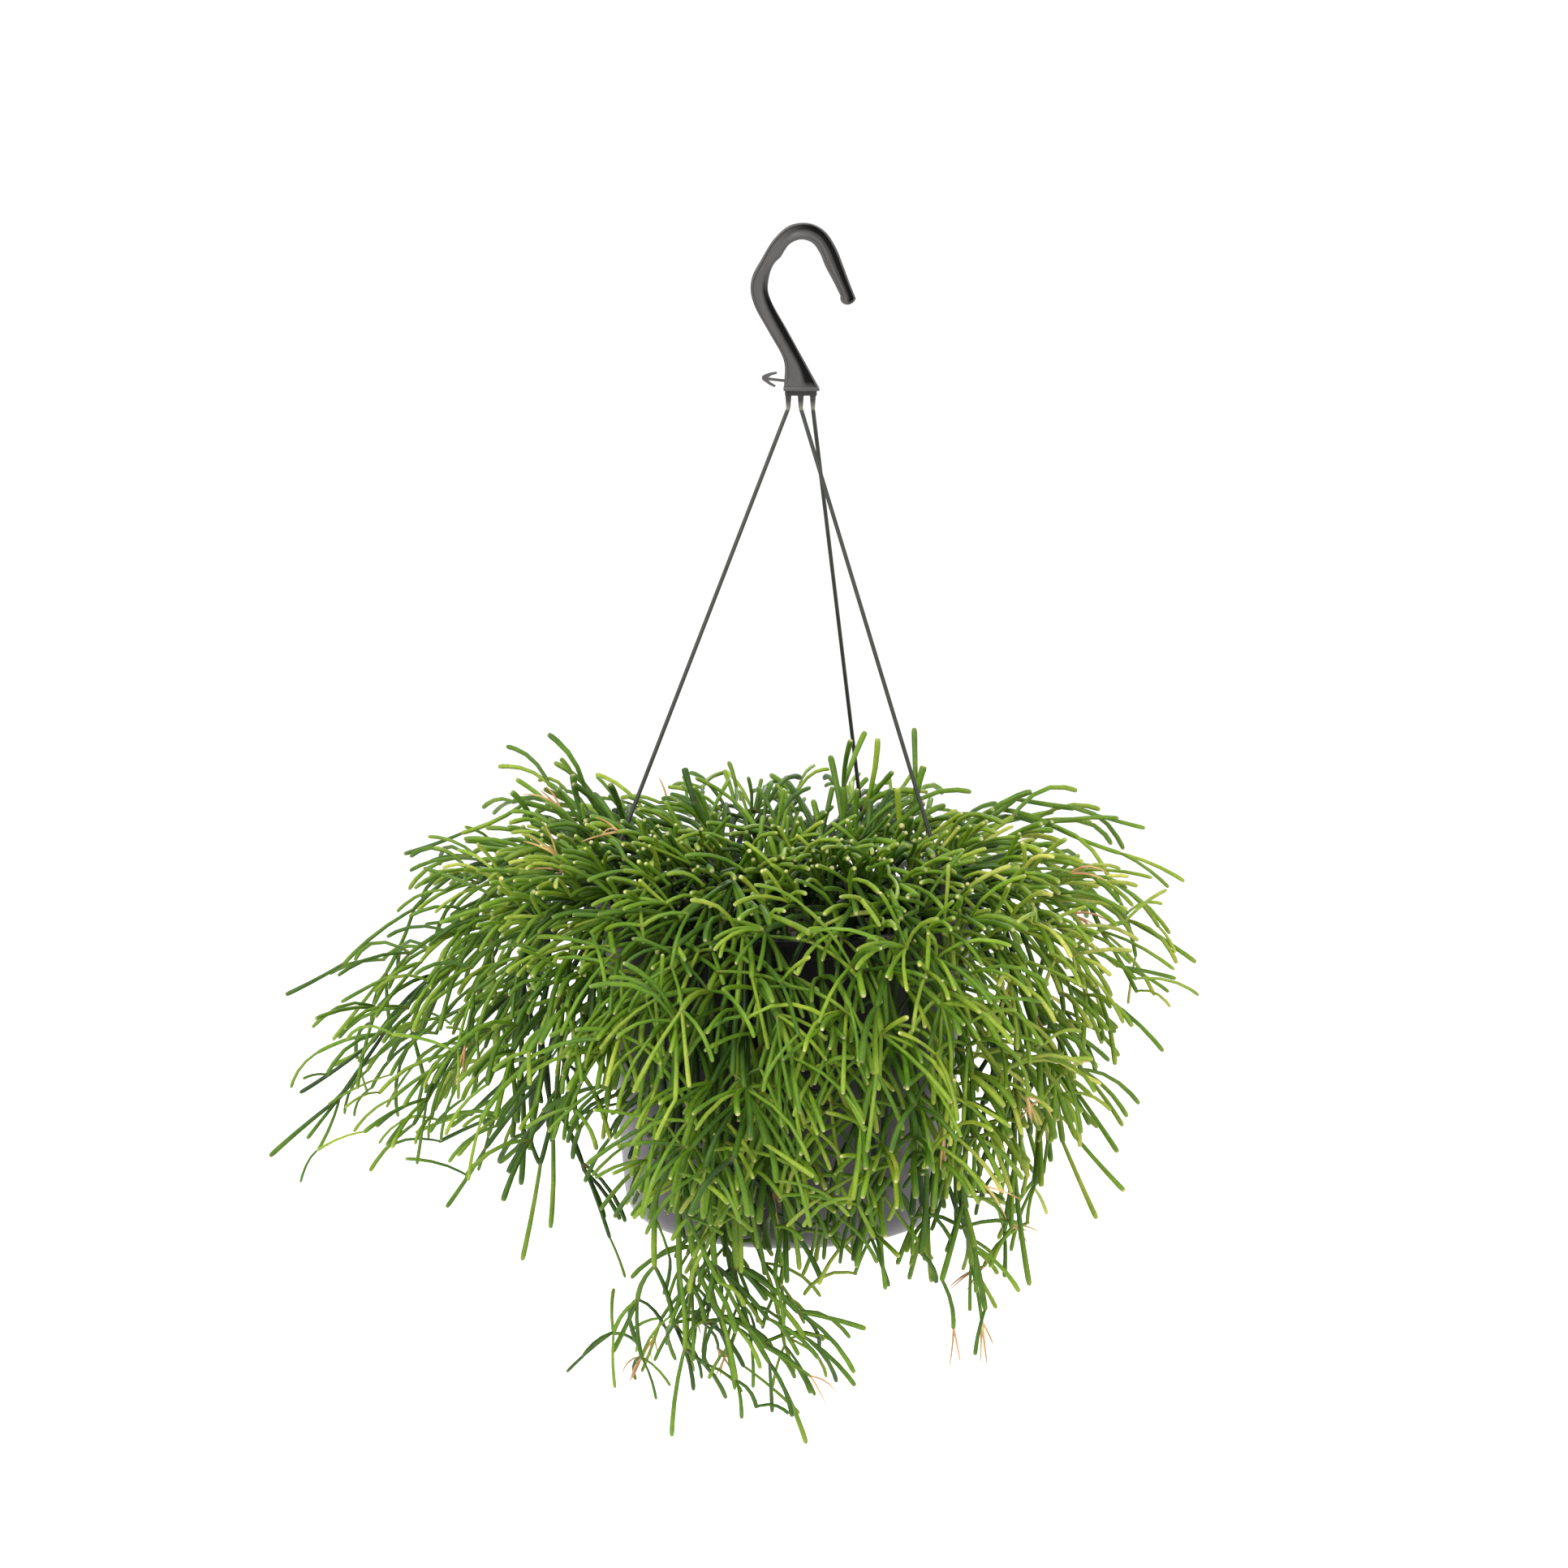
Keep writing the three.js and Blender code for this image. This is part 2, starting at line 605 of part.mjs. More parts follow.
function insideOutline(point, margin) {
  const reach = fromAxis(point);
  const height = point[2];
  if (height < OUTLINE[OUTLINE.length - 1][0] + 6) {
    return false;
  }
  if (height > OUTLINE[0][0]) {
    return CROWN.slice(0, TUFTS).some(([x, y, top]) => (
      (point[0] - x) ** 2 + (point[1] - y) ** 2 < TUFT_REACH ** 2 && height < top + TUFT_RISE
    ));
  }
  if (height < BUNCH[0][0] && height > BUNCH[BUNCH.length - 1][0] && point[1] < 0 && reach < BUNCH_REACH) {
    const [west, east] = rowAt(BUNCH, height);
    if (point[0] > west && point[0] < east) {
      return true;
    }
  }
  const [left, right] = rowAt(OUTLINE, height);
  const lean = (point[0] - POT_AXIS_X) / reach;
  return reach < (left + right) / 2 + ((right - left) / 2) * lean + (height > MARGIN_BOTTOM_Z ? margin : 0);
}

function isFree(from, to, radius) {
  for (let i = 1; i <= PATH_CHECKS; i += 1) {
    const point = plus(from, plus(to, from, -1), i / PATH_CHECKS);
    if (!clearOfPot(point, radius)) {
      return false;
    }
  }
  const heading = unit(plus(to, from, -1));
  return placed.every((other) => {
    if (other.from === from) {
      return dot(heading, unit(plus(other.to, other.from, -1))) < NEAREST_COSINE;
    }
    return other.to === from || spacing(from, to, other.from, other.to) > radius + other.radius + STEM_GAP;
  });
}

function arch(a, b, c, d, t) {
  const s = 1 - t;
  const weights = [s * s * s, 3 * s * s * t, 3 * s * t * t, t * t * t];
  return [0, 1, 2].map((axis) => (
    a[axis] * weights[0] + b[axis] * weights[1] + c[axis] * weights[2] + d[axis] * weights[3]
  ));
}

// A root's place on the soil, as near the wanted one as the roots already there allow
const roots = [];

function plantRoot(angle, distance) {
  for (let tries = 0; ; tries += 1) {
    const turn = angle + tries * ROOT_TURN;
    const out = distance - ROOT_SHIFT * tries;
    const place = [onGrid(POT_AXIS_X + out * cosine(turn)), onGrid(out * sine(turn))];
    if (roots.every(([x, y]) => Math.hypot(x - place[0], y - place[1]) > ROOT_SPACING)) {
      roots.push(place);
      return place;
    }
  }
}

// A stem keeps its joints and, for each segment, its direction and the side that its first edge lies on.
// Children are stems that leave it at a joint, from one of its three faces there.
function newStem(start, heading, side) {
  return { points: [start], headings: [heading], sides: [side], children: [], arrived: false };
}

function square(side, heading) {
  return unit(plus(side, heading, -dot(side, heading)));
}

function extend(stem, point, radius) {
  const here = stem.points[stem.points.length - 1];
  const heading = unit(plus(point, here, -1));
  stem.sides.push(square(stem.sides[stem.sides.length - 1], heading));
  stem.headings.push(heading);
  stem.points.push(point);
  placed.push({ from: here, to: point, radius });
}

// One of the three corners of a stem's section, seen along its heading
function corner(heading, side, k) {
  const other = across(heading, side);
  return plus(plus([0, 0, 0], side, CORNER_COSINE[k]), other, CORNER_SINE[k]);
}

// The face at a joint that a child grows from: two corners below the joint and two above it
function jointFace(stem, joint, k) {
  const { heading, side, onward, onwardSide } = frameAt(stem, joint);
  const below = plus(stem.points[joint], heading, -COLLAR);
  const above = plus(stem.points[joint], onward, COLLAR);
  return [
    plus(below, corner(heading, side, k), SHOOT_RADIUS),
    plus(below, corner(heading, side, (k + 1) % 3), SHOOT_RADIUS),
    plus(above, corner(onward, onwardSide, k), SHOOT_RADIUS),
    plus(above, corner(onward, onwardSide, (k + 1) % 3), SHOOT_RADIUS),
  ];
}

function frameAt(stem, joint) {
  const isEnd = joint === stem.points.length - 1;
  const next = isEnd ? joint : joint + 1;
  return {
    heading: stem.headings[joint],
    side: stem.sides[joint],
    onward: stem.headings[next],
    onwardSide: stem.sides[next],
  };
}

function outwardOf(a, b, c) {
  return unit(across(plus(b, a, -1), plus(c, a, -1)));
}

// The side vector that turns a child's section to fit the three corners of its base
function sideOnFace(face, heading) {
  const base = face.slice(0, 3);
  const centre = base.reduce((sum, point) => plus(sum, point, 1 / 3), [0, 0, 0]);
  return unit(base.reduce((sum, point, k) => {
    const spoke = plus(point, centre, -1);
    const flat = plus(spoke, heading, -dot(spoke, heading));
    return plus(plus(sum, flat, CORNER_COSINE[k]), across(heading, flat), -CORNER_SINE[k]);
  }, [0, 0, 0]));
}

// Whether a child's direction rises out of its face and stays in that face's third of the joint
function leavesFace(direction, stem, joint, k, face) {
  const { heading, side, onward, onwardSide } = frameAt(stem, joint);
  const [first, second] = [corner(heading, side, k), corner(heading, side, (k + 1) % 3)];
  const nextSkin = unit(plus(corner(onward, onwardSide, k), corner(onward, onwardSide, (k + 1) % 3), 1));
  return dot(direction, outwardOf(face[0], face[1], face[2])) > FACE_RISE
    && dot(direction, outwardOf(face[1], face[3], face[2])) > FACE_LEAN
    && dot(direction, nextSkin) > FACE_LEAN
    && dot(direction, across(heading, first)) > FACE_MARGIN
    && dot(direction, across(heading, second)) < -FACE_MARGIN;
}

// The leader follows an arch from its root to its aim, in segments bent clear of what is there already.
function growLeader(spray) {
  const mark = placed.length;
  let leader = null;
  let arrived = false;
  for (let attempt = 0; attempt < LEADER_ATTEMPTS && !arrived; attempt += 1) {
    placed.length = mark;
    leader = tryLeader(spray);
    arrived = leader.arrived;
  }
  return leader;
}

function tryLeader(spray) {
  const { aim } = spray;
  const waist = [WAIST[0] + (aim[0] - WAIST[0]) * WAIST_SPREAD, WAIST[1], WAIST[2]];
  const foot = spray.gathered ? waist : aim;
  const buried = [...spray.root, SOIL_TOP_Z - ROOT_DEPTH];
  const ground = [...spray.root, SOIL_TOP_Z + GROUND_LIFT];
  const reach = [foot[0] - ground[0], foot[1] - ground[1]];
  const crest = ground[2] + spray.rise * ARCH_RISE;
  const over = [ground[0] + reach[0] * ARCH_LEAN, ground[1] + reach[1] * ARCH_LEAN, crest];
  const hang = clamp((HANGING_REACH - fromAxis(foot)) / HANGING_RANGE);
  const back = ARCH_BACK - HANGING_BACK * hang;
  const droop = (ARCH_DROOP + HANGING_DROOP * hang) * (crest - foot[2]);
  const end = [foot[0] - reach[0] * back, foot[1] - reach[1] * back, foot[2] + droop];
  const length = [[ground, over], [over, end], [end, foot]].reduce((sum, [a, b]) => (
    sum + Math.sqrt(dot(plus(a, b, -1), plus(a, b, -1)))
  ), 0);
  const arched = Math.max(2, Math.round((length * CURVE_SHARE) / spray.segment));
  const count = spray.gathered ? arched + FAN_SEGMENTS : arched;
  const leader = newStem(buried, [0, 0, 1], [1, 0, 0]);
  extend(leader, ground, ROOT_RADIUS);
  for (let i = 1; i <= count; i += 1) {
    const planned = i > arched
      ? plus(foot, plus(aim, foot, -1), (i - arched) / FAN_SEGMENTS)
      : arch(ground, over, end, foot, i / arched);
    const here = leader.points[leader.points.length - 1];
    let next = null;
    for (let tries = 0; tries < LEADER_TRIES && !next; tries += 1) {
      const wander = i === count ? AIM_WANDER_STEP * tries : WANDER + WANDER_STEP * tries;
      const shift = [between(-wander, wander), between(-wander, wander), between(-wander, wander)];
      const candidate = plus(planned, shift, 1).map(onGrid);
      const step = plus(candidate, here, -1);
      const isLong = dot(step, step) > SHORTEST_SEGMENT ** 2;
      const isStraight = dot(unit(step), leader.headings[i]) > (i === 1 ? FIRST_BEND_COSINE : BEND_COSINE);
      if (isLong && isStraight && isFree(here, candidate, LEADER_RADIUS)) {
        next = candidate;
      }
    }
    if (!next) {
      return leader;
    }
    extend(leader, next, LEADER_RADIUS);
  }
  leader.arrived = true;
  return leader;
}

// A shoot of a few segments from one face of a joint, each bent a little, leaning outward and drooping. It
// ends early where the next segment would leave the plant's outline.
function growShoot(spray, parent, joint, k, spread, count) {
  const face = jointFace(parent, joint, k);
  const from = parent.points[joint];
  let shoot = null;
  for (let i = 0; i < count; i += 1) {
    let grown = false;
    for (let tries = 0; tries < SHOOT_TRIES && !grown; tries += 1) {
      const length = between(...SHOOT_LENGTH) * (1 - SHOOT_SHORTENING * i);
      const here = i === 0 ? from : shoot.points[i];
      const heading = i === 0 ? parent.headings[joint] : shoot.headings[i];
      const side = i === 0 ? parent.sides[joint] : shoot.sides[i];
      const towards = i === 0 ? 120 * k + 60 + between(-SHOOT_TURN, SHOOT_TURN) : between(0, 360);
      const lean = i === 0 ? spread + between(-SHOOT_WAVER, SHOOT_WAVER) + tries : between(...SHOOT_BEND);
      const turned = plus(splayed(heading, side, lean, towards), outward(here), spray.outwardPull);
      const drooped = unit([turned[0], turned[1], turned[2] - spray.droop]);
      const candidate = plus(here, drooped, length).map(onGrid);
      if (i === 0 && !leavesFace(drooped, parent, joint, k, face)) {
        continue;
      }
      if (!insideOutline(candidate, spray.margin)) {
        break;
      }
      const isBent = i > 0 && dot(drooped, heading) < BEND_COSINE;
      if (isBent || !isFree(here, candidate, SHOOT_RADIUS)) {
        continue;
      }
      if (i === 0) {
        shoot = newStem(from, drooped, sideOnFace(face, drooped));
      }
      extend(shoot, candidate, SHOOT_RADIUS);
      grown = true;
    }
    if (!grown) {
      break;
    }
  }
  if (shoot) {
    parent.children.push({ joint, k, stem: shoot });
  }
  return shoot;
}

function growShoots(spray) {
  const { leader } = spray;
  for (let joint = 2; joint < leader.points.length; joint += 1) {
    const isEnd = joint === leader.points.length - 1;
    const count = isEnd ? 3 : Math.floor(between(spray.bushy, spray.bushy + MORE_SHOOTS));
    const firstFace = Math.floor(between(0, 3));
    for (let turn = 0; turn < count; turn += 1) {
      const k = (firstFace + turn) % 3;
      const length = isEnd ? 1 : Math.floor(between(...SHOOT_SEGMENTS));
      const shoot = growShoot(spray, leader, joint, k, isEnd ? END_SPREAD : spray.spread, length);
      if (shoot && shoot.points.length > 2) {
        const forkFace = Math.floor(between(0, 3));
        growShoot(spray, shoot, 1, forkFace, FORK_SPREAD, 1);
        growShoot(spray, shoot, 1, (forkFace + 1) % 3, FORK_SPREAD, 1);
      }
    }
  }
}

// The skin of a whole spray: three-sided stems, with each child raised from a face of its parent's joint
function sprayGeometry(spray) {
  const positions = [];
  const index = [];
  const addRing = (centre, heading, side, radius) => {
    const ring = [];
    for (let k = 0; k < 3; k += 1) {
      ring.push(positions.length / 3);
      positions.push(...plus(centre, corner(heading, side, k), radius));
    }
    return ring;
  };
  const join = (low, high, open) => {
    for (let k = 0; k < 3; k += 1) {
      const n = (k + 1) % 3;
      if (!open.includes(k)) {
        index.push(low[k], low[n], high[k]);
      }
      index.push(low[n], high[n], high[k]);
    }
  };
  const clothe = (stem, base, thick, thin) => {
    let ring = base;
    for (let joint = 1; joint < stem.points.length; joint += 1) {
      const [point, heading, side] = [stem.points[joint], stem.headings[joint], stem.sides[joint]];
      const { onward, onwardSide } = frameAt(stem, joint);
      const children = stem.children.filter((child) => child.joint === joint);
      if (children.length === 0) {
        const middle = unit(plus(heading, onward, 1));
        const next = addRing(point, middle, square(side, middle), thin);
        join(ring, next, []);
        ring = next;
        continue;
      }
      const low = addRing(plus(point, heading, -COLLAR), heading, side, thick);
      const high = addRing(plus(point, onward, COLLAR), onward, onwardSide, thin);
      join(ring, low, []);
      join(low, high, children.map((child) => child.k));
      for (const { k, stem: child } of children) {
        clothe(child, [low[k], low[(k + 1) % 3], high[k]], SHOOT_RADIUS, SHOOT_RADIUS - SHOOT_TAPER);
      }
      ring = high;
    }
    index.push(...ring);
  };
  const { leader } = spray;
  const foot = addRing(leader.points[0], leader.headings[0], leader.sides[0], ROOT_RADIUS);
  index.push(foot[0], foot[2], foot[1]);
  clothe(leader, foot, LEADER_RADIUS, LEADER_RADIUS - LEADER_TAPER);
  const geometry = new THREE.BufferGeometry();
  geometry.setAttribute('position', new THREE.Float32BufferAttribute(positions, 3));
  geometry.setIndex(index);
  return geometry;
}

const sprays = [];

function addSpray(aim, rise, habit, rootAngle, rootDistance) {
  const name = `spray_${String(sprays.length + 1).padStart(2, '0')}`;
  const spray = { name, aim, rise, ...habit, root: plantRoot(rootAngle, rootDistance) };
  spray.leader = growLeader(spray);
  sprays.push(spray);
}

for (const { aim, root, rise } of REACHING) {
  addSpray(aim, rise, REACHING_HABIT, root, ROOT_CIRCLE_RADIUS - ROOT_STEP_IN * (rise - LOWEST_RISE));
}
for (const { aim, root, rise } of TRAILING) {
  addSpray(aim, rise, TRAILING_HABIT, root, ROOT_CIRCLE_RADIUS);
}
CROWN.forEach((aim, i) => {
  const rise = CROWN_RISE_SHARE * (aim[2] - SOIL_TOP_Z);
  addSpray(aim, rise, CROWN_HABIT, GOLDEN_ANGLE * i, CROWN_FIRST_ROOT + CROWN_ROOT_STEP * i);
});
for (let i = 0; i < FILLERS; i += 1) {
  const angle = FRONT + GOLDEN_ANGLE * i;
  const filler = i % 2 === 0 ? NEAR_FILLER : FAR_FILLER;
  const reach = between(...filler.reach);
  const height = between(...filler.height);
  const aim = [onGrid(POT_AXIS_X + reach * cosine(angle)), onGrid(reach * sine(angle)), onGrid(height)];
  addSpray(aim, between(...filler.rise), FILLER_HABIT, angle, filler.root);
}
for (const spray of sprays) {
  growShoots(spray);
}

// Materials
function plain(colour, roughness) {
  return new THREE.MeshStandardMaterial({ color: colour, roughness, metalness: 0 });
}

const part = new THREE.Group();

function add(parent, name, geometry, material) {
  const mesh = new THREE.Mesh(geometry, material);
  mesh.name = name;
  parent.add(mesh);
  return mesh;
}

const potGroup = new THREE.Group();
potGroup.position.set(POT_AXIS_X, 0, RIM_TOP_Z);
part.add(potGroup);
add(potGroup, 'pot', potGeometry(), plain(0x5f585c, 0.45));
add(potGroup, 'soil', soilGeometry(roots), plain(0x2d221a, 1));
add(part, 'hook', hookGeometry(), plain(0x3c4442, 0.5));
for (const rod of RODS) {
  add(part, `rod_${rod.name}`, rodGeometry(rod), plain(0x4c5048, 0.5));
}
for (const spray of sprays) {
  add(part, spray.name, sprayGeometry(spray), plain(0x567a2c, 0.55));
}

export default part;
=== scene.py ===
"""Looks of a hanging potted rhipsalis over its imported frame. Growth is worked out in millimetres."""

import json
import math

import bmesh
import bpy
import numpy as np
from mathutils import Matrix, Vector

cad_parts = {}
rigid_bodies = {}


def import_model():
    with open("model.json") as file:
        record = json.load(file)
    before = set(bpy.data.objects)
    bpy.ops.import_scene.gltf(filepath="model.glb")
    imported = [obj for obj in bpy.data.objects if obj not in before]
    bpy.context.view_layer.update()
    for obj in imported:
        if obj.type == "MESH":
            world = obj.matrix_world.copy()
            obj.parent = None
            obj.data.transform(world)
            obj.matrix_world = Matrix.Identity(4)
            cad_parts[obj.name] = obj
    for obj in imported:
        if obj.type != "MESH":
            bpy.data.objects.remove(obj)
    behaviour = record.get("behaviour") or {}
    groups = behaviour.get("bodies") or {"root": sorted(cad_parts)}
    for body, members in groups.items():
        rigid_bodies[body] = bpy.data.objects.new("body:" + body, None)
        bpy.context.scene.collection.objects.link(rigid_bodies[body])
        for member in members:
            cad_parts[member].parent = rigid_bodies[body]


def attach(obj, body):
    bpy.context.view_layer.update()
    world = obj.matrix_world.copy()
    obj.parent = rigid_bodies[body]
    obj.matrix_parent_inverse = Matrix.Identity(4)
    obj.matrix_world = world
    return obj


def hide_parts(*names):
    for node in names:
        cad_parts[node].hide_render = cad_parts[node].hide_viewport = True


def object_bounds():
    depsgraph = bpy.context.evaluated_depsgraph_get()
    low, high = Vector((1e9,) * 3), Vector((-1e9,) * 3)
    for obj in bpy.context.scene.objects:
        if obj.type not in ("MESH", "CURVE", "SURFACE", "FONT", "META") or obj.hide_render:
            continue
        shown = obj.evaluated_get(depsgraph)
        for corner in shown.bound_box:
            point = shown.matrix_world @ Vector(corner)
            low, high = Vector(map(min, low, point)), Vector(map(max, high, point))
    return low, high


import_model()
cad_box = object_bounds()

MM = 0.001

# Sizes of the part, in millimetres
POT_AXIS_X = -5.6
RIM_TOP_Z = -255.0
POT_HEIGHT = 123.0
POT_WALL = 1.6
RIM_RADIUS = 76.8
RIM_THICKNESS = 2.0
RIM_SKIRT = 7.0
SKIRT_WALL = 1.2
WALL_TOP_RADIUS = 72.4
WALL_FOOT_RADIUS = 62.8
FOOT_ROUND_HEIGHT = 12.0
BASE_FLAT_RADIUS = 50.0
DRAIN_COUNT = 6
DRAIN_RADIUS = 4.0
DRAIN_CIRCLE_RADIUS = 32.0
SOIL_EDGE_DEPTH = 15.0
SOIL_CENTRE_DEPTH = 12.0
ROOT_DEPTH = 12.0
CLEARANCE = 0.3
RODS = [("left", -4.6, -155.0), ("right", 0.1, -37.0), ("back", 4.7, 65.0)]
ROD_RADIUS = 0.9
LEG_TOP_RADIUS = 1.4
LEG_END_RADIUS = 0.8
LEG_LENGTH = 7.0
LEG_SUNK = 0.4
ROD_DRAWN_RADIUS = 0.78
ROD_END_SUNK = 1
CLIP_CIRCLE_RADIUS = 74.1
CLIP_THICKNESS = 1.2
CLIP_WIDTH = 6.2
CLIP_BARB_WIDTH = 9.4
CLIP_BARB_LENGTH = 6.0
CLIP_NECK_TOP = 19.0
CLIP_NECK_BOTTOM = 13.0
CLIP_ROOM = 0.4
SLOT_DEPTH = 2.0
HOOK_DEPTH = 5.6
HOOK_WEB = 2.2
HOOK_EDGE = 1.2
PLATE_X = (-6.5, 7.2)
PLATE_OVERHANG = 0.9
PLATE_TOP_Z = -55.4
PLATE_BOTTOM_Z = -56.9
LEG_WEB_BOTTOM_Z = -58.8
LEG_WEB_X = (-5.9, 6.2)
LEG_WEB_HALF_DEPTH = 1.4
LEG_WEB_SUNK = 0.5
PIN_HALF_DEPTH = 0.45
HOOK_OUTSIDE = [
    (20.9, -22.1), (18.5, -16.1), (16.1, -9.7), (13.4, -3.1), (9.4, 2.9), (5.0, 5.7), (0.9, 6.3),
    (-4.6, 5.0), (-10.0, 0.2), (-14.8, -7.4), (-18.2, -13.7), (-18.9, -18.9), (-17.5, -24.6),
    (-12.4, -34.0), (-7.1, -43.4), (-6.0, -47.2), (-6.3, -55.7)]
HOOK_INSIDE = [
    (15.1, -21.2), (12.4, -15.8), (9.3, -10.0), (7.2, -5.0), (4.3, -1.2), (0.0, 0.0), (-4.1, -1.7),
    (-6.3, -4.6), (-7.5, -6.6), (-9.7, -8.7), (-11.2, -11.6), (-12.1, -15.3), (-12.3, -19.2),
    (-10.9, -23.5), (-5.2, -33.7), (0.5, -44.0), (7.0, -55.7)]
HOOK_TIP = [(18.9, -24.1), (17.2, -24.4), (15.6, -23.4)]
TAG_PIN = [
    (-5.5, -52.7), (-12.2, -51.9), (-11.0, -51.1), (-8.9, -50.5), (-9.0, -49.7), (-11.6, -50.1),
    (-13.6, -50.8), (-14.5, -51.4), (-14.7, -52.2), (-14.3, -53.0), (-13.5, -53.5), (-12.0, -54.6),
    (-9.9, -55.6), (-9.3, -55.0), (-11.0, -53.9), (-12.2, -53.0), (-5.5, -53.7)]

# The part's rule of growth
FRONT = -90
SEED = 31
ROOT_RADIUS = 2.0
LEADER_RADIUS = 1.8
SHOOT_RADIUS = 1.6
STEM_GAP = 0.6
SEGMENT_LENGTH = 33.0
CROWN_SEGMENT_LENGTH = 25.0
COLLAR = 2.0
SHORTEST_SEGMENT = 13.0
NEAREST_COSINE = 0.96
BEND_COSINE = 0.62
FIRST_BEND_COSINE = 0.3
FACE_RISE = 0.36
FACE_LEAN = 0.2
FACE_MARGIN = 0.02
CORNER_COSINE = (1.0, -0.5, -0.5)
CORNER_SINE = (0.0, math.sqrt(0.75), -math.sqrt(0.75))
GOLDEN_ANGLE = 137.508
LEADER_ATTEMPTS = 12
LEADER_TRIES = 120
SHOOT_TRIES = 26
BASE_KEEP_OUT_RADIUS = 74.0
BASE_KEEP_OUT_BELOW = -106.0
WALL_KEEP_OUT_HEIGHT = 114.0
POT_ROOM = 0.6
SOIL_EDGE_ROOM = 1
PATH_CHECKS = 8
PLACED_ROOM = 9000
NEAR_ROOM = 0.01
LEAST_CROSSING = 1e-9
ROOT_SPACING = 7.0
ROOT_TURN = 9.0
ROOT_SHIFT = 0.8
SOIL_TOP_Z = RIM_TOP_Z - SOIL_CENTRE_DEPTH

# Leaders that reach out over the rim, and those that trail down in one bunch: where the tip is, the angle
# of the root round the pot and how far the leader rises over the soil
REACHING = [
    ((-204, -25, -349), 190, 46), ((-201, 10, -293), 176, 55), ((-194, -8, -328), 182, 42),
    ((-156, 32, -241), 165, 52), ((-164, -40, -351), 200, 44), ((-104, -76, -376), 222, 46),
    ((152.4, -10, -276), -4, 50), ((137, -46, -303), -22, 45), ((121, -70, -351), -34, 46),
    ((136, 34, -231), 14, 48), ((68, -96, -389), -54, 46), ((18, 150, -322), 82, 46),
    ((-60, 140, -300), 115, 52), ((80, 128, -305), 55, 50), ((-24, -150, -318), -100, 56),
    ((40, -144, -300), -70, 58), ((150, 16, -249), 7, 52), ((-150, -12, -272), 186, 52),
    ((112, -54, -366), -29, 50), ((-134, -52, -362), 208, 50),
    ((86, -68, -388), -40, 46), ((44, -94, -368), -63, 44)]
TRAILING = [
    ((2, -96, -440.5), -90, 44), ((-48, -92, -439), -116, 40), ((-70, -88, -408), -128, 36),
    ((20, -97, -418), -78, 38), ((-24, -100, -415), -104, 46), ((24, -98, -396), -84, 42)]

# Tips of the leaders in the crown. The first six stand out on top as tufts.
CROWN = [
    (-38, -10, -207), (43, 6, -208), (-84, 0, -211), (17, 28, -214), (-104, 22, -218), (92, 18, -232),
    (0, -34, -238), (-20, 44, -234), (54, -38, -244), (-54, -44, -240),
    (46, 54, -240), (-66, 50, -236), (-10, 70, -242), (10, -66, -248)]

# Leaders that fill the room between the others, in turn near the pot and far from it
FILLERS = 12
NEAR_FILLER = {"reach": (90, 106), "height": (-380, -330), "rise": (34, 44), "root": 56}
FAR_FILLER = {"reach": (122, 150), "height": (-345, -262), "rise": (46, 60), "root": 42}
REACHING_HABIT = {
    "droop": 0.05, "outward_pull": 0.2, "spread": 31, "bushy": 2.1, "segment": SEGMENT_LENGTH, "margin": 20,
    "gathered": False}
TRAILING_HABIT = {**REACHING_HABIT, "droop": 0.04, "outward_pull": 0, "margin": 0, "gathered": True}
CROWN_HABIT = {
    "droop": 0, "outward_pull": 0.1, "spread": 34, "bushy": 1.9, "segment": CROWN_SEGMENT_LENGTH,
    "margin": 0, "gathered": False}
FILLER_HABIT = {
    **REACHING_HABIT, "droop": 0.07, "outward_pull": 0.25, "spread": 33, "bushy": 2.3, "margin": 6}
ROOT_CIRCLE_RADIUS = 57
ROOT_STEP_IN = 0.6
LOWEST_RISE = 36
CROWN_RISE_SHARE = 0.45
CROWN_FIRST_ROOT = 6
CROWN_ROOT_STEP = 2.2
GROUND_LIFT = 2.5
ARCH_RISE = 1.42
ARCH_LEAN = 0.3
ARCH_BACK = 0.4
ARCH_DROOP = 0.25
HANGING_REACH = 135
HANGING_RANGE = 40
HANGING_BACK = 0.7
HANGING_DROOP = 0.63
WAIST = (-44, -97, -374)
WAIST_SPREAD = 0.3
FAN_SEGMENTS = 2
CURVE_SHARE = 0.9
WANDER = 4
WANDER_STEP = 0.12
AIM_WANDER_STEP = 0.08
SHOOT_LENGTH = (22, 35)
SHOOT_SHORTENING = 0.12
SHOOT_SEGMENTS = (2, 3.3)
MORE_SHOOTS = 1.5
SHOOT_TURN = 28
SHOOT_WAVER = 7
SHOOT_BEND = (3, 22)
END_SPREAD = 26
FORK_SPREAD = 28

# Outline of the growth: height, and reach from the axis of the pot on the left and on the right
OUTLINE = [
    (-218, 88, 84), (-226, 116, 118), (-236, 130, 124), (-250, 128, 132), (-268, 138, 138), (-280, 162, 138),
    (-292, 172, 130), (-300, 162, 128), (-318, 166, 124), (-334, 168, 118), (-344, 168, 114),
    (-354, 126, 112), (-366, 98, 110), (-380, 84, 104), (-394, 74, 88), (-404, 60, 74), (-445, 50, 50)]
OUTLINE_FOOT = 6
MARGIN_BOTTOM_Z = -344
TUFTS = 6
TUFT_REACH = 17
TUFT_RISE = 22
BUNCH_REACH = 108

# Outline of the bunch under the pot: height, left and right
BUNCH = [
    (-350, -70, 10), (-384, -66, -8), (-400, -76, 8), (-412, -80, 26), (-424, -58, 16), (-436, -50, 0)]

# Numbers and vectors

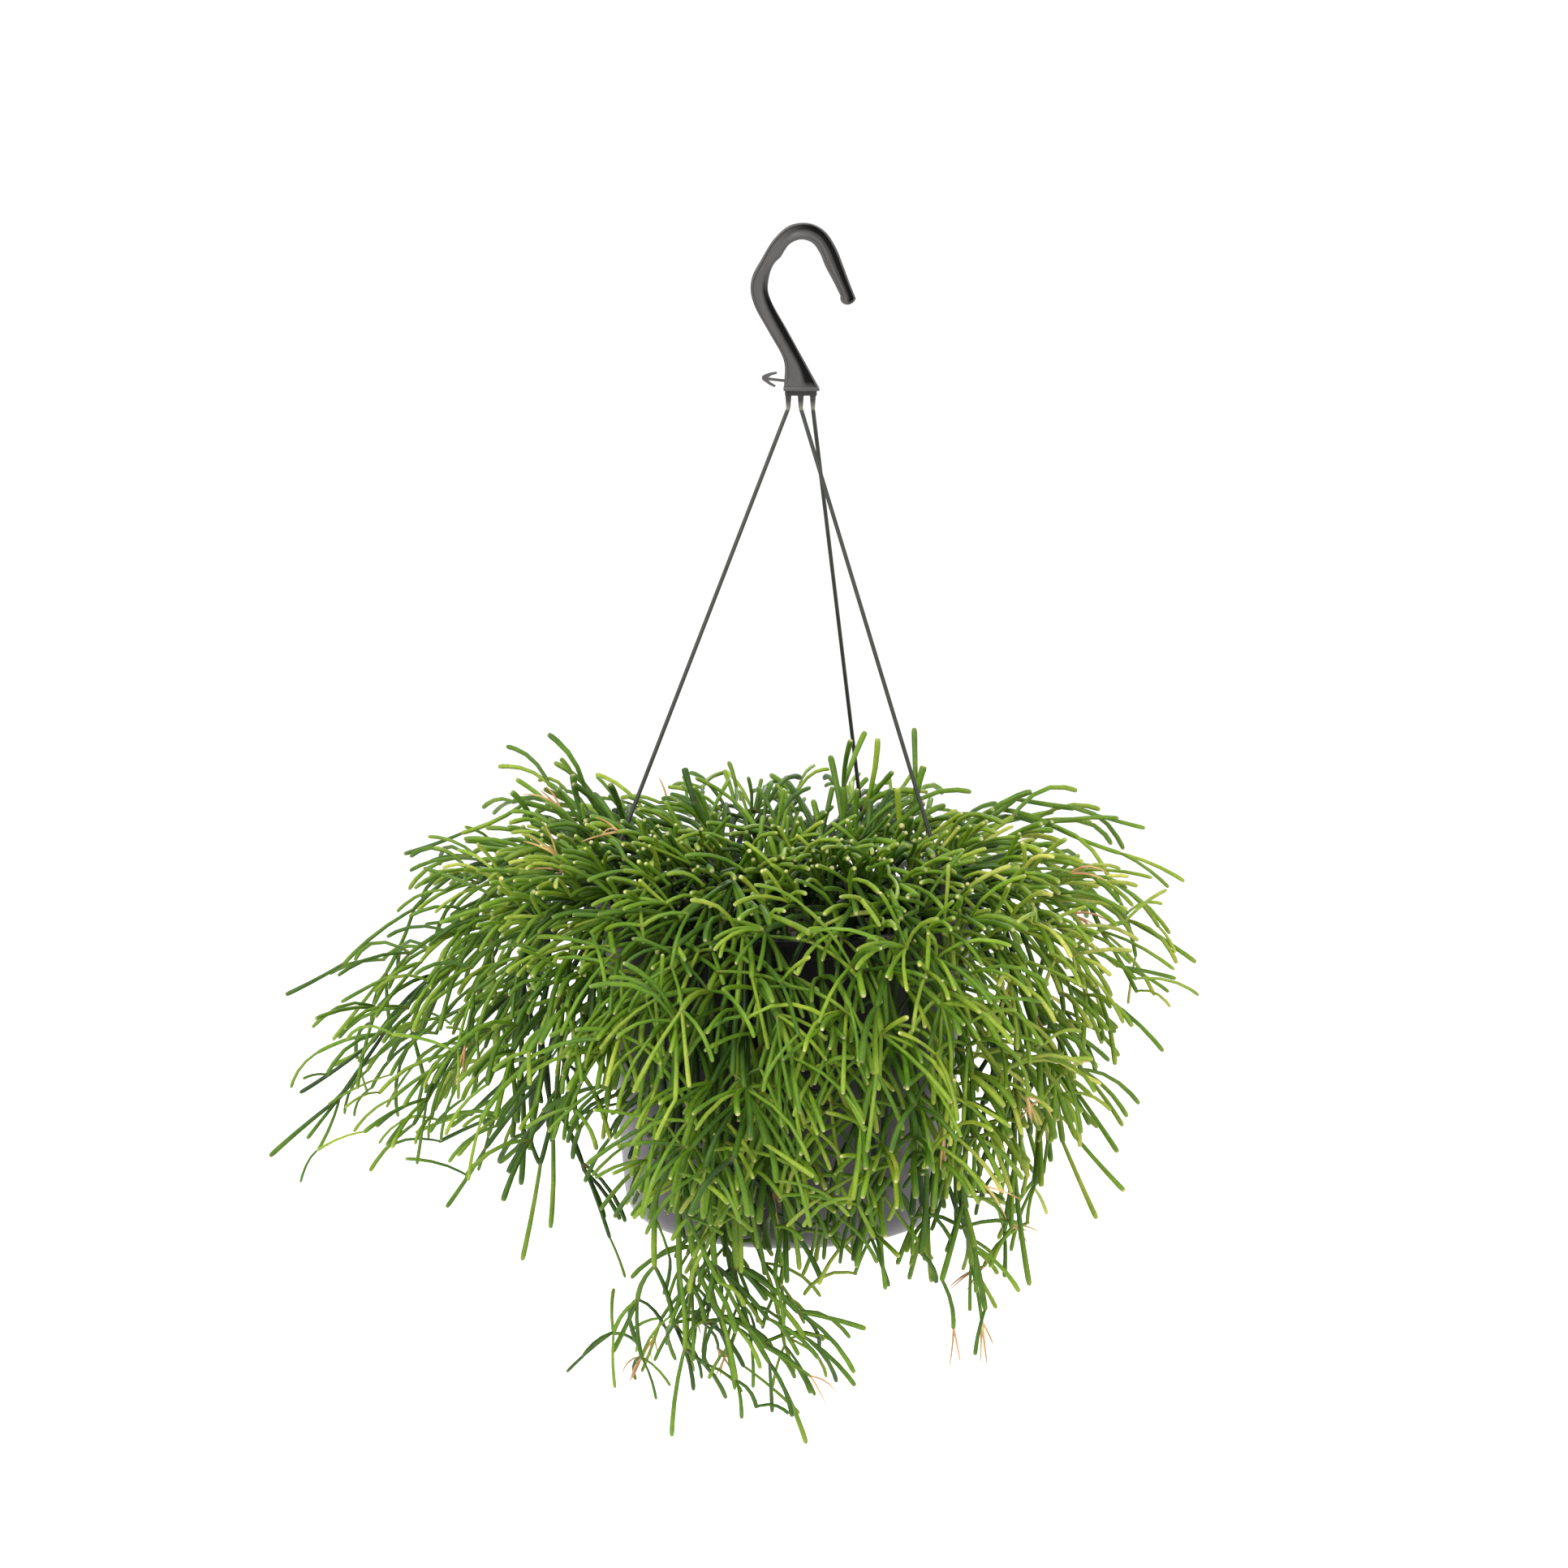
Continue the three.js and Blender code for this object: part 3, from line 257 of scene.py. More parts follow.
def make_random(seed):
    """The mulberry32 generator, which the part uses too."""
    state = seed & 0xFFFFFFFF

    def draw():
        nonlocal state
        state = (state + 0x6D2B79F5) & 0xFFFFFFFF
        mixed = ((state ^ (state >> 15)) * (state | 1)) & 0xFFFFFFFF
        mixed ^= (mixed + (((mixed ^ (mixed >> 7)) * (mixed | 61)) & 0xFFFFFFFF)) & 0xFFFFFFFF
        return ((mixed ^ (mixed >> 14)) & 0xFFFFFFFF) / 4294967296
    return draw


random = make_random(SEED)


def between(low, high):
    return low + (high - low) * random()


def on_grid(value):
    return math.floor(value * 1e6 + 0.5) / 1e6


def on_grid_all(point):
    return tuple(on_grid(v) for v in point)


def plus(a, b, scale):
    return (a[0] + b[0] * scale, a[1] + b[1] * scale, a[2] + b[2] * scale)


def dot(a, b):
    return a[0] * b[0] + a[1] * b[1] + a[2] * b[2]


def unit(a):
    size = math.sqrt(dot(a, a))
    return (a[0] / size, a[1] / size, a[2] / size)


def across(a, b):
    return (a[1] * b[2] - a[2] * b[1], a[2] * b[0] - a[0] * b[2], a[0] * b[1] - a[1] * b[0])


def radians(degrees):
    return degrees * (math.pi / 180)


def cosine(degrees):
    return on_grid(math.cos(radians(degrees)))


def sine(degrees):
    return on_grid(math.sin(radians(degrees)))


def splayed(heading, side, spread, towards):
    sideways = sine(spread)
    away = plus((0, 0, 0), heading, cosine(spread))
    leaning = plus(away, side, sideways * cosine(towards))
    return unit(plus(leaning, across(heading, side), sideways * sine(towards)))


def clamp(value):
    return min(max(value, 0), 1)


class Placed:
    """Straight pieces that new stems keep clear of."""

    def __init__(self, room):
        self.start = np.zeros((room, 3))
        self.along = np.zeros((room, 3))
        self.middle = np.zeros((room, 3))
        self.length2 = np.zeros(room)
        self.half = np.zeros(room)
        self.radius = np.zeros(room)
        self.from_id = np.zeros(room, dtype=np.int64)
        self.to_id = np.zeros(room, dtype=np.int64)
        self.count = 0

    def add(self, start, end, radius, from_id, to_id):
        n = self.count
        self.start[n] = start
        self.along[n] = plus(end, start, -1)
        self.middle[n] = [(a + b) / 2 for a, b in zip(start, end)]
        self.length2[n] = dot(self.along[n], self.along[n])
        self.half[n] = math.sqrt(self.length2[n]) / 2
        self.radius[n] = radius
        self.from_id[n] = from_id
        self.to_id[n] = to_id
        self.count = n + 1

    def is_free(self, start, end, radius, from_id, gap, nearest):
        n = self.count
        along = plus(end, start, -1)
        a = dot(along, along)
        half = math.sqrt(a) / 2
        middle = np.array([(p + q) / 2 for p, q in zip(start, end)])
        off = self.middle[:n] - middle
        reach = self.half[:n] + self.radius[:n] + (half + radius + gap + NEAR_ROOM)
        near = np.nonzero((off * off).sum(axis=1) < reach * reach)[0]
        if len(near) == 0:
            return True
        heading = unit(along)
        same = near[self.from_id[near] == from_id]
        for i in same:
            other = self.along[i]
            if dot(heading, unit((other[0], other[1], other[2]))) >= nearest:
                return False
        rest = near[(self.from_id[near] != from_id) & (self.to_id[near] != from_id)]
        if len(rest) == 0:
            return True
        d2 = self.along[rest]
        w = np.array(start) - self.start[rest]
        b = along[0] * d2[:, 0] + along[1] * d2[:, 1] + along[2] * d2[:, 2]
        c = self.length2[rest]
        d = along[0] * w[:, 0] + along[1] * w[:, 1] + along[2] * w[:, 2]
        e = d2[:, 0] * w[:, 0] + d2[:, 1] * w[:, 1] + d2[:, 2] * w[:, 2]
        crossing = a * c - b * b
        safe = np.where(crossing > LEAST_CROSSING, crossing, 1.0)
        first = np.where(crossing > LEAST_CROSSING, np.clip((b * e - c * d) / safe, 0, 1), 0.0)
        second = np.clip((b * first + e) / c, 0, 1)
        refined = np.clip((b * second - d) / a, 0, 1)
        gap_vector = w + np.array(along) * refined[:, None] - d2 * second[:, None]
        spacing = np.sqrt(gap_vector[:, 0] ** 2 + gap_vector[:, 1] ** 2 + gap_vector[:, 2] ** 2)
        return bool(np.all(spacing > radius + self.radius[rest] + gap))


placed = Placed(PLACED_ROOM)
point_count = 0


def new_id():
    global point_count
    point_count += 1
    return point_count


def rod_line(leg_x, angle):
    start = (leg_x, 0.0, PLATE_BOTTOM_Z + LEG_SUNK - LEG_LENGTH)
    end = (POT_AXIS_X + CLIP_CIRCLE_RADIUS * math.cos(radians(angle)),
           CLIP_CIRCLE_RADIUS * math.sin(radians(angle)), RIM_TOP_Z + CLIP_NECK_TOP - ROD_END_SUNK)
    return start, end


for _, leg_x, angle in RODS:
    rod_start, rod_end = rod_line(leg_x, angle)
    ids = (new_id(), new_id(), new_id())
    placed.add(rod_start, rod_end, ROD_RADIUS, ids[0], ids[1])
    rod_foot = (rod_end[0], rod_end[1], RIM_TOP_Z - RIM_SKIRT)
    placed.add(rod_end, rod_foot, CLIP_WIDTH / 2 + CLIP_ROOM, ids[1], ids[2])


def wall_radius(height, wall_height=POT_HEIGHT - FOOT_ROUND_HEIGHT):
    down = -height / wall_height
    return WALL_TOP_RADIUS + (WALL_FOOT_RADIUS - WALL_TOP_RADIUS) * clamp(down)


def from_axis(point):
    return math.sqrt((point[0] - POT_AXIS_X) ** 2 + point[1] ** 2)


def outward(point):
    reach = from_axis(point)
    return ((point[0] - POT_AXIS_X) / reach, point[1] / reach, 0)


def clear_of_pot(point, radius):
    reach = from_axis(point)
    height = point[2] - RIM_TOP_Z
    room = radius + POT_ROOM
    if height > room:
        return True
    soil_edge = WALL_TOP_RADIUS - POT_WALL - SOIL_EDGE_ROOM - room
    if height > -SOIL_CENTRE_DEPTH + room and reach < soil_edge:
        return True
    if height < BASE_KEEP_OUT_BELOW:
        return reach > BASE_KEEP_OUT_RADIUS
    is_by_rim = height > -RIM_SKIRT - CLIP_BARB_LENGTH
    outside = RIM_RADIUS if is_by_rim else wall_radius(height, WALL_KEEP_OUT_HEIGHT)
    return reach > outside + room


def row_at(table, height):
    below = next(i for i, row in enumerate(table) if row[0] <= height)
    high, low = table[below - 1], table[below]
    down = (high[0] - height) / (high[0] - low[0])
    return high[1] + (low[1] - high[1]) * down, high[2] + (low[2] - high[2]) * down


def inside_outline(point, margin):
    reach = from_axis(point)
    height = point[2]
    if height < OUTLINE[-1][0] + OUTLINE_FOOT:
        return False
    if height > OUTLINE[0][0]:
        return any((point[0] - x) ** 2 + (point[1] - y) ** 2 < TUFT_REACH ** 2 and height < top + TUFT_RISE
                   for x, y, top in CROWN[:TUFTS])
    if BUNCH[-1][0] < height < BUNCH[0][0] and point[1] < 0 and reach < BUNCH_REACH:
        west, east = row_at(BUNCH, height)
        if west < point[0] < east:
            return True
    left, right = row_at(OUTLINE, height)
    lean = (point[0] - POT_AXIS_X) / reach
    extra = margin if height > MARGIN_BOTTOM_Z else 0
    return reach < (left + right) / 2 + ((right - left) / 2) * lean + extra


def is_free(start, end, radius, from_id, gap=STEM_GAP, nearest=NEAREST_COSINE):
    step = plus(end, start, -1)
    for i in range(1, PATH_CHECKS + 1):
        if not clear_of_pot(plus(start, step, i / PATH_CHECKS), radius):
            return False
    return placed.is_free(start, end, radius, from_id, gap, nearest)


def arch(a, b, c, d, t):
    s = 1 - t
    weights = (s * s * s, 3 * s * s * t, 3 * s * t * t, t * t * t)
    return tuple(
        a[i] * weights[0] + b[i] * weights[1] + c[i] * weights[2] + d[i] * weights[3] for i in range(3))


roots = []


def plant_root(angle, distance):
    tries = 0
    while True:
        turn = angle + tries * ROOT_TURN
        out = distance - ROOT_SHIFT * tries
        place = (on_grid(POT_AXIS_X + out * cosine(turn)), on_grid(out * sine(turn)))
        if all(math.hypot(x - place[0], y - place[1]) > ROOT_SPACING for x, y in roots):
            roots.append(place)
            return place
        tries += 1


def new_stem(start, start_id, heading, side):
    return {"points": [start], "ids": [start_id], "headings": [heading], "sides": [side],
            "children": [], "arrived": False}


def square(side, heading):
    return unit(plus(side, heading, -dot(side, heading)))


def extend(stem, point, radius):
    here = stem["points"][-1]
    heading = unit(plus(point, here, -1))
    stem["sides"].append(square(stem["sides"][-1], heading))
    stem["headings"].append(heading)
    stem["points"].append(point)
    number = new_id()
    placed.add(here, point, radius, stem["ids"][-1], number)
    stem["ids"].append(number)


def corner(heading, side, k):
    other = across(heading, side)
    return plus(plus((0, 0, 0), side, CORNER_COSINE[k]), other, CORNER_SINE[k])


def frame_at(stem, joint):
    onward = joint if joint == len(stem["points"]) - 1 else joint + 1
    return stem["headings"][joint], stem["sides"][joint], stem["headings"][onward], stem["sides"][onward]


def joint_face(stem, joint, k):
    heading, side, onward, onward_side = frame_at(stem, joint)
    below = plus(stem["points"][joint], heading, -COLLAR)
    above = plus(stem["points"][joint], onward, COLLAR)
    n = (k + 1) % 3
    return [
        plus(below, corner(heading, side, k), SHOOT_RADIUS),
        plus(below, corner(heading, side, n), SHOOT_RADIUS),
        plus(above, corner(onward, onward_side, k), SHOOT_RADIUS),
        plus(above, corner(onward, onward_side, n), SHOOT_RADIUS)]


def outward_of(a, b, c):
    return unit(across(plus(b, a, -1), plus(c, a, -1)))


def side_on_face(face, heading):
    base = face[:3]
    centre = (0, 0, 0)
    for point in base:
        centre = plus(centre, point, 1 / 3)
    total = (0, 0, 0)
    for k, point in enumerate(base):
        spoke = plus(point, centre, -1)
        flat = plus(spoke, heading, -dot(spoke, heading))
        total = plus(plus(total, flat, CORNER_COSINE[k]), across(heading, flat), -CORNER_SINE[k])
    return unit(total)


def leaves_face(direction, stem, joint, k, face):
    heading, side, onward, onward_side = frame_at(stem, joint)
    n = (k + 1) % 3
    first, second = corner(heading, side, k), corner(heading, side, n)
    next_skin = unit(plus(corner(onward, onward_side, k), corner(onward, onward_side, n), 1))
    return (dot(direction, outward_of(face[0], face[1], face[2])) > FACE_RISE
            and dot(direction, outward_of(face[1], face[3], face[2])) > FACE_LEAN
            and dot(direction, next_skin) > FACE_LEAN
            and dot(direction, across(heading, first)) > FACE_MARGIN
            and dot(direction, across(heading, second)) < -FACE_MARGIN)


def grow_leader(spray):
    mark = placed.count
    leader = None
    for _ in range(LEADER_ATTEMPTS):
        placed.count = mark
        leader = try_leader(spray)
        if leader["arrived"]:
            break
    return leader


def try_leader(spray):
    aim = spray["aim"]
    waist = (WAIST[0] + (aim[0] - WAIST[0]) * WAIST_SPREAD, WAIST[1], WAIST[2])
    foot = waist if spray["gathered"] else aim
    buried = (*spray["root"], SOIL_TOP_Z - ROOT_DEPTH)
    ground = (*spray["root"], SOIL_TOP_Z + GROUND_LIFT)
    reach = (foot[0] - ground[0], foot[1] - ground[1])
    crest = ground[2] + spray["rise"] * ARCH_RISE
    over = (ground[0] + reach[0] * ARCH_LEAN, ground[1] + reach[1] * ARCH_LEAN, crest)
    hang = clamp((HANGING_REACH - from_axis(foot)) / HANGING_RANGE)
    back = ARCH_BACK - HANGING_BACK * hang
    droop = (ARCH_DROOP + HANGING_DROOP * hang) * (crest - foot[2])
    end = (foot[0] - reach[0] * back, foot[1] - reach[1] * back, foot[2] + droop)
    length = 0
    for a, b in ((ground, over), (over, end), (end, foot)):
        length += math.sqrt(dot(plus(a, b, -1), plus(a, b, -1)))
    arched = max(2, math.floor((length * CURVE_SHARE) / spray["segment"] + 0.5))
    count = arched + FAN_SEGMENTS if spray["gathered"] else arched
    leader = new_stem(buried, new_id(), (0, 0, 1), (1, 0, 0))
    extend(leader, ground, ROOT_RADIUS)
    for i in range(1, count + 1):
        if i > arched:
            planned = plus(foot, plus(aim, foot, -1), (i - arched) / FAN_SEGMENTS)
        else:
            planned = arch(ground, over, end, foot, i / arched)
        here = leader["points"][-1]
        found = None
        for tries in range(LEADER_TRIES):
            wander = AIM_WANDER_STEP * tries if i == count else WANDER + WANDER_STEP * tries
            shift = (between(-wander, wander), between(-wander, wander), between(-wander, wander))
            candidate = on_grid_all(plus(planned, shift, 1))
            step = plus(candidate, here, -1)
            is_long = dot(step, step) > SHORTEST_SEGMENT ** 2
            limit = FIRST_BEND_COSINE if i == 1 else BEND_COSINE
            is_straight = dot(unit(step), leader["headings"][i]) > limit
            if is_long and is_straight and is_free(here, candidate, LEADER_RADIUS, leader["ids"][-1]):
                found = candidate
                break
        if found is None:
            return leader
        extend(leader, found, LEADER_RADIUS)
    leader["arrived"] = True
    return leader


def grow_shoot(spray, parent, joint, k, spread, count):
    face = joint_face(parent, joint, k)
    start = parent["points"][joint]
    shoot = None
    for i in range(count):
        grown = False
        for tries in range(SHOOT_TRIES):
            length = between(*SHOOT_LENGTH) * (1 - SHOOT_SHORTENING * i)
            here = start if i == 0 else shoot["points"][i]
            here_id = parent["ids"][joint] if i == 0 else shoot["ids"][i]
            heading = parent["headings"][joint] if i == 0 else shoot["headings"][i]
            side = parent["sides"][joint] if i == 0 else shoot["sides"][i]
            towards = 120 * k + 60 + between(-SHOOT_TURN, SHOOT_TURN) if i == 0 else between(0, 360)
            lean = spread + between(-SHOOT_WAVER, SHOOT_WAVER) + tries if i == 0 else between(*SHOOT_BEND)
            turned = plus(splayed(heading, side, lean, towards), outward(here), spray["outward_pull"])
            drooped = unit((turned[0], turned[1], turned[2] - spray["droop"]))
            candidate = on_grid_all(plus(here, drooped, length))
            if i == 0 and not leaves_face(drooped, parent, joint, k, face):
                continue
            if not inside_outline(candidate, spray["margin"]):
                break
            is_bent = i > 0 and dot(drooped, heading) < BEND_COSINE
            if is_bent or not is_free(here, candidate, SHOOT_RADIUS, here_id):
                continue
            if i == 0:
                shoot = new_stem(start, here_id, drooped, side_on_face(face, drooped))
            extend(shoot, candidate, SHOOT_RADIUS)
            grown = True
            break
        if not grown:
            break
    if shoot:
        parent["children"].append((joint, k, shoot))
    return shoot


def grow_shoots(spray):
    leader = spray["leader"]
    for joint in range(2, len(leader["points"])):
        is_end = joint == len(leader["points"]) - 1
        count = 3 if is_end else math.floor(between(spray["bushy"], spray["bushy"] + MORE_SHOOTS))
        first_face = math.floor(between(0, 3))
        for turn in range(count):
            k = (first_face + turn) % 3
            length = 1 if is_end else math.floor(between(*SHOOT_SEGMENTS))
            shoot = grow_shoot(spray, leader, joint, k, END_SPREAD if is_end else spray["spread"], length)
            if shoot and len(shoot["points"]) > 2:
                fork_face = math.floor(between(0, 3))
                grow_shoot(spray, shoot, 1, fork_face, FORK_SPREAD, 1)
                grow_shoot(spray, shoot, 1, (fork_face + 1) % 3, FORK_SPREAD, 1)


sprays = []


def add_spray(aim, rise, habit, root_angle, root_distance):
    spray = {"name": f"spray_{len(sprays) + 1:02d}", "aim": aim, "rise": rise, **habit}
    spray["root"] = plant_root(root_angle, root_distance)
    spray["leader"] = grow_leader(spray)
    sprays.append(spray)


for aim, root, rise in REACHING:
    add_spray(aim, rise, REACHING_HABIT, root, ROOT_CIRCLE_RADIUS - ROOT_STEP_IN * (rise - LOWEST_RISE))
for aim, root, rise in TRAILING:
    add_spray(aim, rise, TRAILING_HABIT, root, ROOT_CIRCLE_RADIUS)
for i, aim in enumerate(CROWN):
    rise = CROWN_RISE_SHARE * (aim[2] - SOIL_TOP_Z)
    add_spray(aim, rise, CROWN_HABIT, GOLDEN_ANGLE * i, CROWN_FIRST_ROOT + CROWN_ROOT_STEP * i)
for i in range(FILLERS):
    angle = FRONT + GOLDEN_ANGLE * i
    filler = NEAR_FILLER if i % 2 == 0 else FAR_FILLER
    reach = between(*filler["reach"])
    height = between(*filler["height"])
    aim = (on_grid(POT_AXIS_X + reach * cosine(angle)), on_grid(reach * sine(angle)), on_grid(height))
    add_spray(aim, between(*filler["rise"]), FILLER_HABIT, angle, filler["root"])
for spray in sprays:
    grow_shoots(spray)

# Finer growth: the segments between the joints, and the thin twigs that the solids leave out

FINE_SEED = 977
BOX_ROOM = 1.5
TWIG_GAP = -0.15
TWIG_NEAREST = 0.972
MARGIN = 6
TIP_REACH = 19
LOOSE_JOINTS = 2
MANY_TWIGS = (1.9, 4.2)
FEW_TWIGS = (0.5, 2.5)
RIM_TWIGS_FROM = 0.3
TOP_ROOM = 7
TOP_ROOM_FROM_Z = -236
WHORL_TRIES = 10
WHORL_WAVER = (-30, 30)
TWIG_LENGTH = (14, 30)
TWIG_LEAN = (12, 56)
DROOP_SHARE = (0.4, 1.5)
CROWN_LIFT = (0.05, 0.45)
FRONT_DROOP = (-0.15, 0.34)
FRONT_LENGTHENING = 0.28
FRONT_LEAN = 0.5
FORK_CHANCE = (0, 0.8, 0.4, 0)
FORK_COUNT = (1, 4)
FORK_LENGTH = (12, 25)

# Radius of each kind of segment before it is slimmed by its place
LEADER_WIDTH = (1.15, 1.38)
SHOOT_WIDTH = (1.04, 1.26)
TWIG_WIDTH = (0.94, 1.14)
FORK_WIDTH = (0.72, 0.96)
SLIMMING = 0.3
SLIMMING_SHARES = (("ends", 1), ("foot", 0.75), ("beside", 0.8))

# Curve of a segment, as shares of its length
SEGMENT_LIFT = (0.03, 0.2)
LEADER_LIFT = (0, 0.05)
SIDEWAYS_BEND = (-0.13, 0.13)
SIDEWAYS_GUIDE = (0.3, 0.5, 0.81)

# Age of the skin, from 0 for old dark skin to 1 for young pale skin, with painted light and shade mixed in
AGE_START = 0.18
AGE_PER_LEVEL = 0.12
# Painted light: the skin is made paler at the front, top, outer edges and right side
PAINTED_LIGHT_SHARES = (("front", 0.05), ("top", 0.07), ("edge", 0.08), ("right", 0.18))
LOW_LEADER_AGE = 0.26
# Painted shade: the skin is made darker behind the front stems and inside the crown over the rim
PAINTED_SHADE = 0.6
AGE_SPREAD = (-0.18, 0.19)

# Thin pink ends
BLUSH_CHANCE = 0.01
BLUSH_SHARES = (("pink_right", 0.08), ("pink_foot", 0.06))
BLUSH_COUNT = (2, 4.5)
BLUSH_TURN = 110
BLUSH_LEAN = (5, 28)
BLUSH_DROOP = 0.15
BLUSH_LENGTH = (8, 16)
BLUSH_WIDTH = (0.35, 0.5)
BLUSH_STRENGTH = (0.55, 1.0)
BLUSH_LEVEL = 4

# Zones of the plant. Each row is a measure of the point, where the zone starts and where it is full.
PLANT_MIDDLE_X = -5
FRONTAL = [("y", -58, -78), ("off_middle", 88, 68), ("z", -352, -327), ("z", -236, -256)]
ZONES = {
    "front": [("y", -40, -100), ("off_plant", 95, 35)],
    "top": [("z", -262, -202)],
    "edge": [("off_plant", 70, 130)],
    "right": [("x", 45, 95)],
    "low": [("z", -345, -370)],
    # The next two zones are where the stems' painted shade falls
    "shaded_behind": [("reach", 110, 84), ("z", -246, -256), ("z", -376, -352)],
    "shaded_over_rim": [("z", -222, -240), ("reach", 98, 78), ("z", -300, -280)],
    "ends": [("off_plant", 90, 140)],
    "foot": [("z", -365, -405)],
    "beside": [("x", -46, -58), ("x", -114, -102), ("z", -300, -316)],
    "frontal": FRONTAL,
    "dense_front": FRONTAL + [("z", -352, -312)],
    "rim_front": [("y", -14, -34), ("off_middle", 92, 72), ("z", -290, -274), ("z", -222, -232)],
    "sides": [("off_plant", 72, 117)],
    "crest": [("z", -232, -222)],
    "right_side": [("x", 50, 90)],
    "lower_half": [("z", -325, -375)],
    "lowest": [("z", -405, -420)],
    "sagging": [("z", -230, -280)],
    "crown": [("z", -264, -234)],
    "pink_right": [("x", 60, 110), ("z", -238, -248)],
    "pink_foot": [("z", -380, -400)]}

# The share of the usual number of twigs in each zone, and in regions as the front view shows them. A region
# is left, right, bottom and top in X and Z, with the change in its share.
TWIG_SHARES = (
    ("dense_front", 0.3), ("rim_front", 1.15), ("sides", -0.55), ("crest", -0.7), ("right_side", -0.15),
    ("lower_half", -0.3), ("lowest", -0.2))
REGIONS = [
    (-106, -58, -366, -302, -1.3), (-180, -128, -312, -250, -0.35), (88, 134, -354, -310, -1.0),
    (-142, -98, -240, -214, -0.6), (-98, -60, -217, -190, -0.5), (14, 54, -219, -190, -0.9),
    (50, 134, -242, -205, -0.7), (48, 94, -382, -338, 0.6), (-50, 64, -376, -320, 0.9),
    (-66, -22, -424, -366, 1.1), (-16, 40, -432, -396, -0.3)]
REGION_FADE = 8

# The plant's top line in the front view, which looks down a little
TOP_LINE = [
    (-160, -240), (-141, -224), (-118, -222), (-106, -200), (-86, -192), (-77, -208), (-58, -216),
    (-46, -197), (-38, -184), (-24, -198), (-12, -206), (8, -197), (20, -190), (30, -200), (42, -186),
    (50, -211), (70, -220), (96, -224), (112, -235), (132, -232), (146, -246), (160, -252)]
VIEW_SLOPE = 0.158
FRINGE = {"x": (-64, 90), "y": -60, "z": (-386, -330), "reach": 122}

fine = make_random(FINE_SEED)
low_corner = [v / MM + BOX_ROOM for v in cad_box[0]]
high_corner = [v / MM - BOX_ROOM for v in cad_box[1]]


def spread_of(low, high):
    return low + (high - low) * fine()


def zone(name, point):
    """How far a point lies in a zone, from 0 outside it to 1 where it is full."""
    x, y, z = point
    measures = {
        "x": x, "y": y, "z": z, "off_middle": abs(x), "off_plant": abs(x - PLANT_MIDDLE_X),
        "reach": from_axis(point)}
    share = 1
    for measure, start, full in ZONES[name]:
        share *= clamp((measures[measure] - start) / (full - start))
    return share


def in_zones(shares, point):
    return sum(share * zone(name, point) for name, share in shares)


def soft(value, low, high):
    return clamp((value - low) / REGION_FADE + 0.5) * clamp((high - value) / REGION_FADE + 0.5)


def sparseness(point):
    """The share of the usual number of twigs at a point."""
    x, _, z = point
    share = 1 + in_zones(TWIG_SHARES, point)
    return share + sum(
        change * soft(x, left, right) * soft(z, low, high) for left, right, low, high, change in REGIONS)


def slimness(point):
    return 1 - SLIMMING * max(share * zone(name, point) for name, share in SLIMMING_SHARES)


def below_top(point):
    x, y, z = point
    return z + VIEW_SLOPE * y < np.interp(x, [row[0] for row in TOP_LINE], [row[1] for row in TOP_LINE])


def in_fringe(point):
    """True low in front of the pot, where stems hang past the outline of the solids' growth."""
    x, y, z = point
    is_across = FRINGE["x"][0] < x < FRINGE["x"][1] and y < FRINGE["y"]
    return is_across and FRINGE["z"][0] < z < FRINGE["z"][1] and from_axis(point) < FRINGE["reach"]


def in_box(point):
    return all(low_corner[i] <= point[i] <= high_corner[i] for i in range(3))


def club(spray, start, end, radius, level, is_tip, blush=0.0):
    """Adds a curved segment, with its age, its painted light and shade, and a number of its own."""
    along = plus(end, start, -1)
    length = math.sqrt(dot(along, along))
    heading = unit(along)
    lift = plus((0, 0, 1), heading, -heading[2])
    amount = length * spread_of(*(SEGMENT_LIFT if level > 0 else LEADER_LIFT))
    sideways = across(heading, SIDEWAYS_GUIDE)
    bend = plus(plus((0, 0, 0), lift, amount), sideways, length * spread_of(*SIDEWAYS_BEND))
    middle = plus(plus(start, along, 0.5), bend, 1)
    middle = tuple(min(max(v, low), high) for v, low, high in zip(middle, low_corner, high_corner))
    # Real age by level and at random, plus painted light by zone and painted shade behind and over the rim
    age_and_painted_light = AGE_START + AGE_PER_LEVEL * level + in_zones(PAINTED_LIGHT_SHARES, end)
    if level == 0:
        age_and_painted_light += LOW_LEADER_AGE * zone("low", end)
    age_and_painted_light += spread_of(*AGE_SPREAD) - PAINTED_SHADE * max(zone("shaded_behind", end), zone("shaded_over_rim", end))
    spray["clubs"].append((start, middle, end, radius, is_tip, blush, clamp(age_and_painted_light), fine()))


def twig(spray, start, start_id, heading, side, towards, lean, length, radius, droop, is_loose):
    """The end, number and direction of a new twig, False outside the plant or None where it has no room."""
    turned = plus(splayed(heading, side, lean, towards), outward(start), spray["outward_pull"])
    drooped = unit((turned[0], turned[1], turned[2] - droop))
    end = plus(start, drooped, length)
    checked = (end[0], end[1], end[2] - TOP_ROOM) if end[2] > TOP_ROOM_FROM_Z else end
    from_tip = plus(end, spray["leader"]["points"][-1], -1)
    is_by_tip = is_loose and dot(from_tip, from_tip) < TIP_REACH ** 2
    is_inside = is_by_tip or in_fringe(end) or inside_outline(checked, spray["margin"] + MARGIN)
    if not (is_inside and in_box(end) and below_top(end)):
        return False
    if not is_free(start, end, radius, start_id, TWIG_GAP, TWIG_NEAREST):
        return None
    number = new_id()
    placed.add(start, end, radius, start_id, number)
    return end, number, drooped


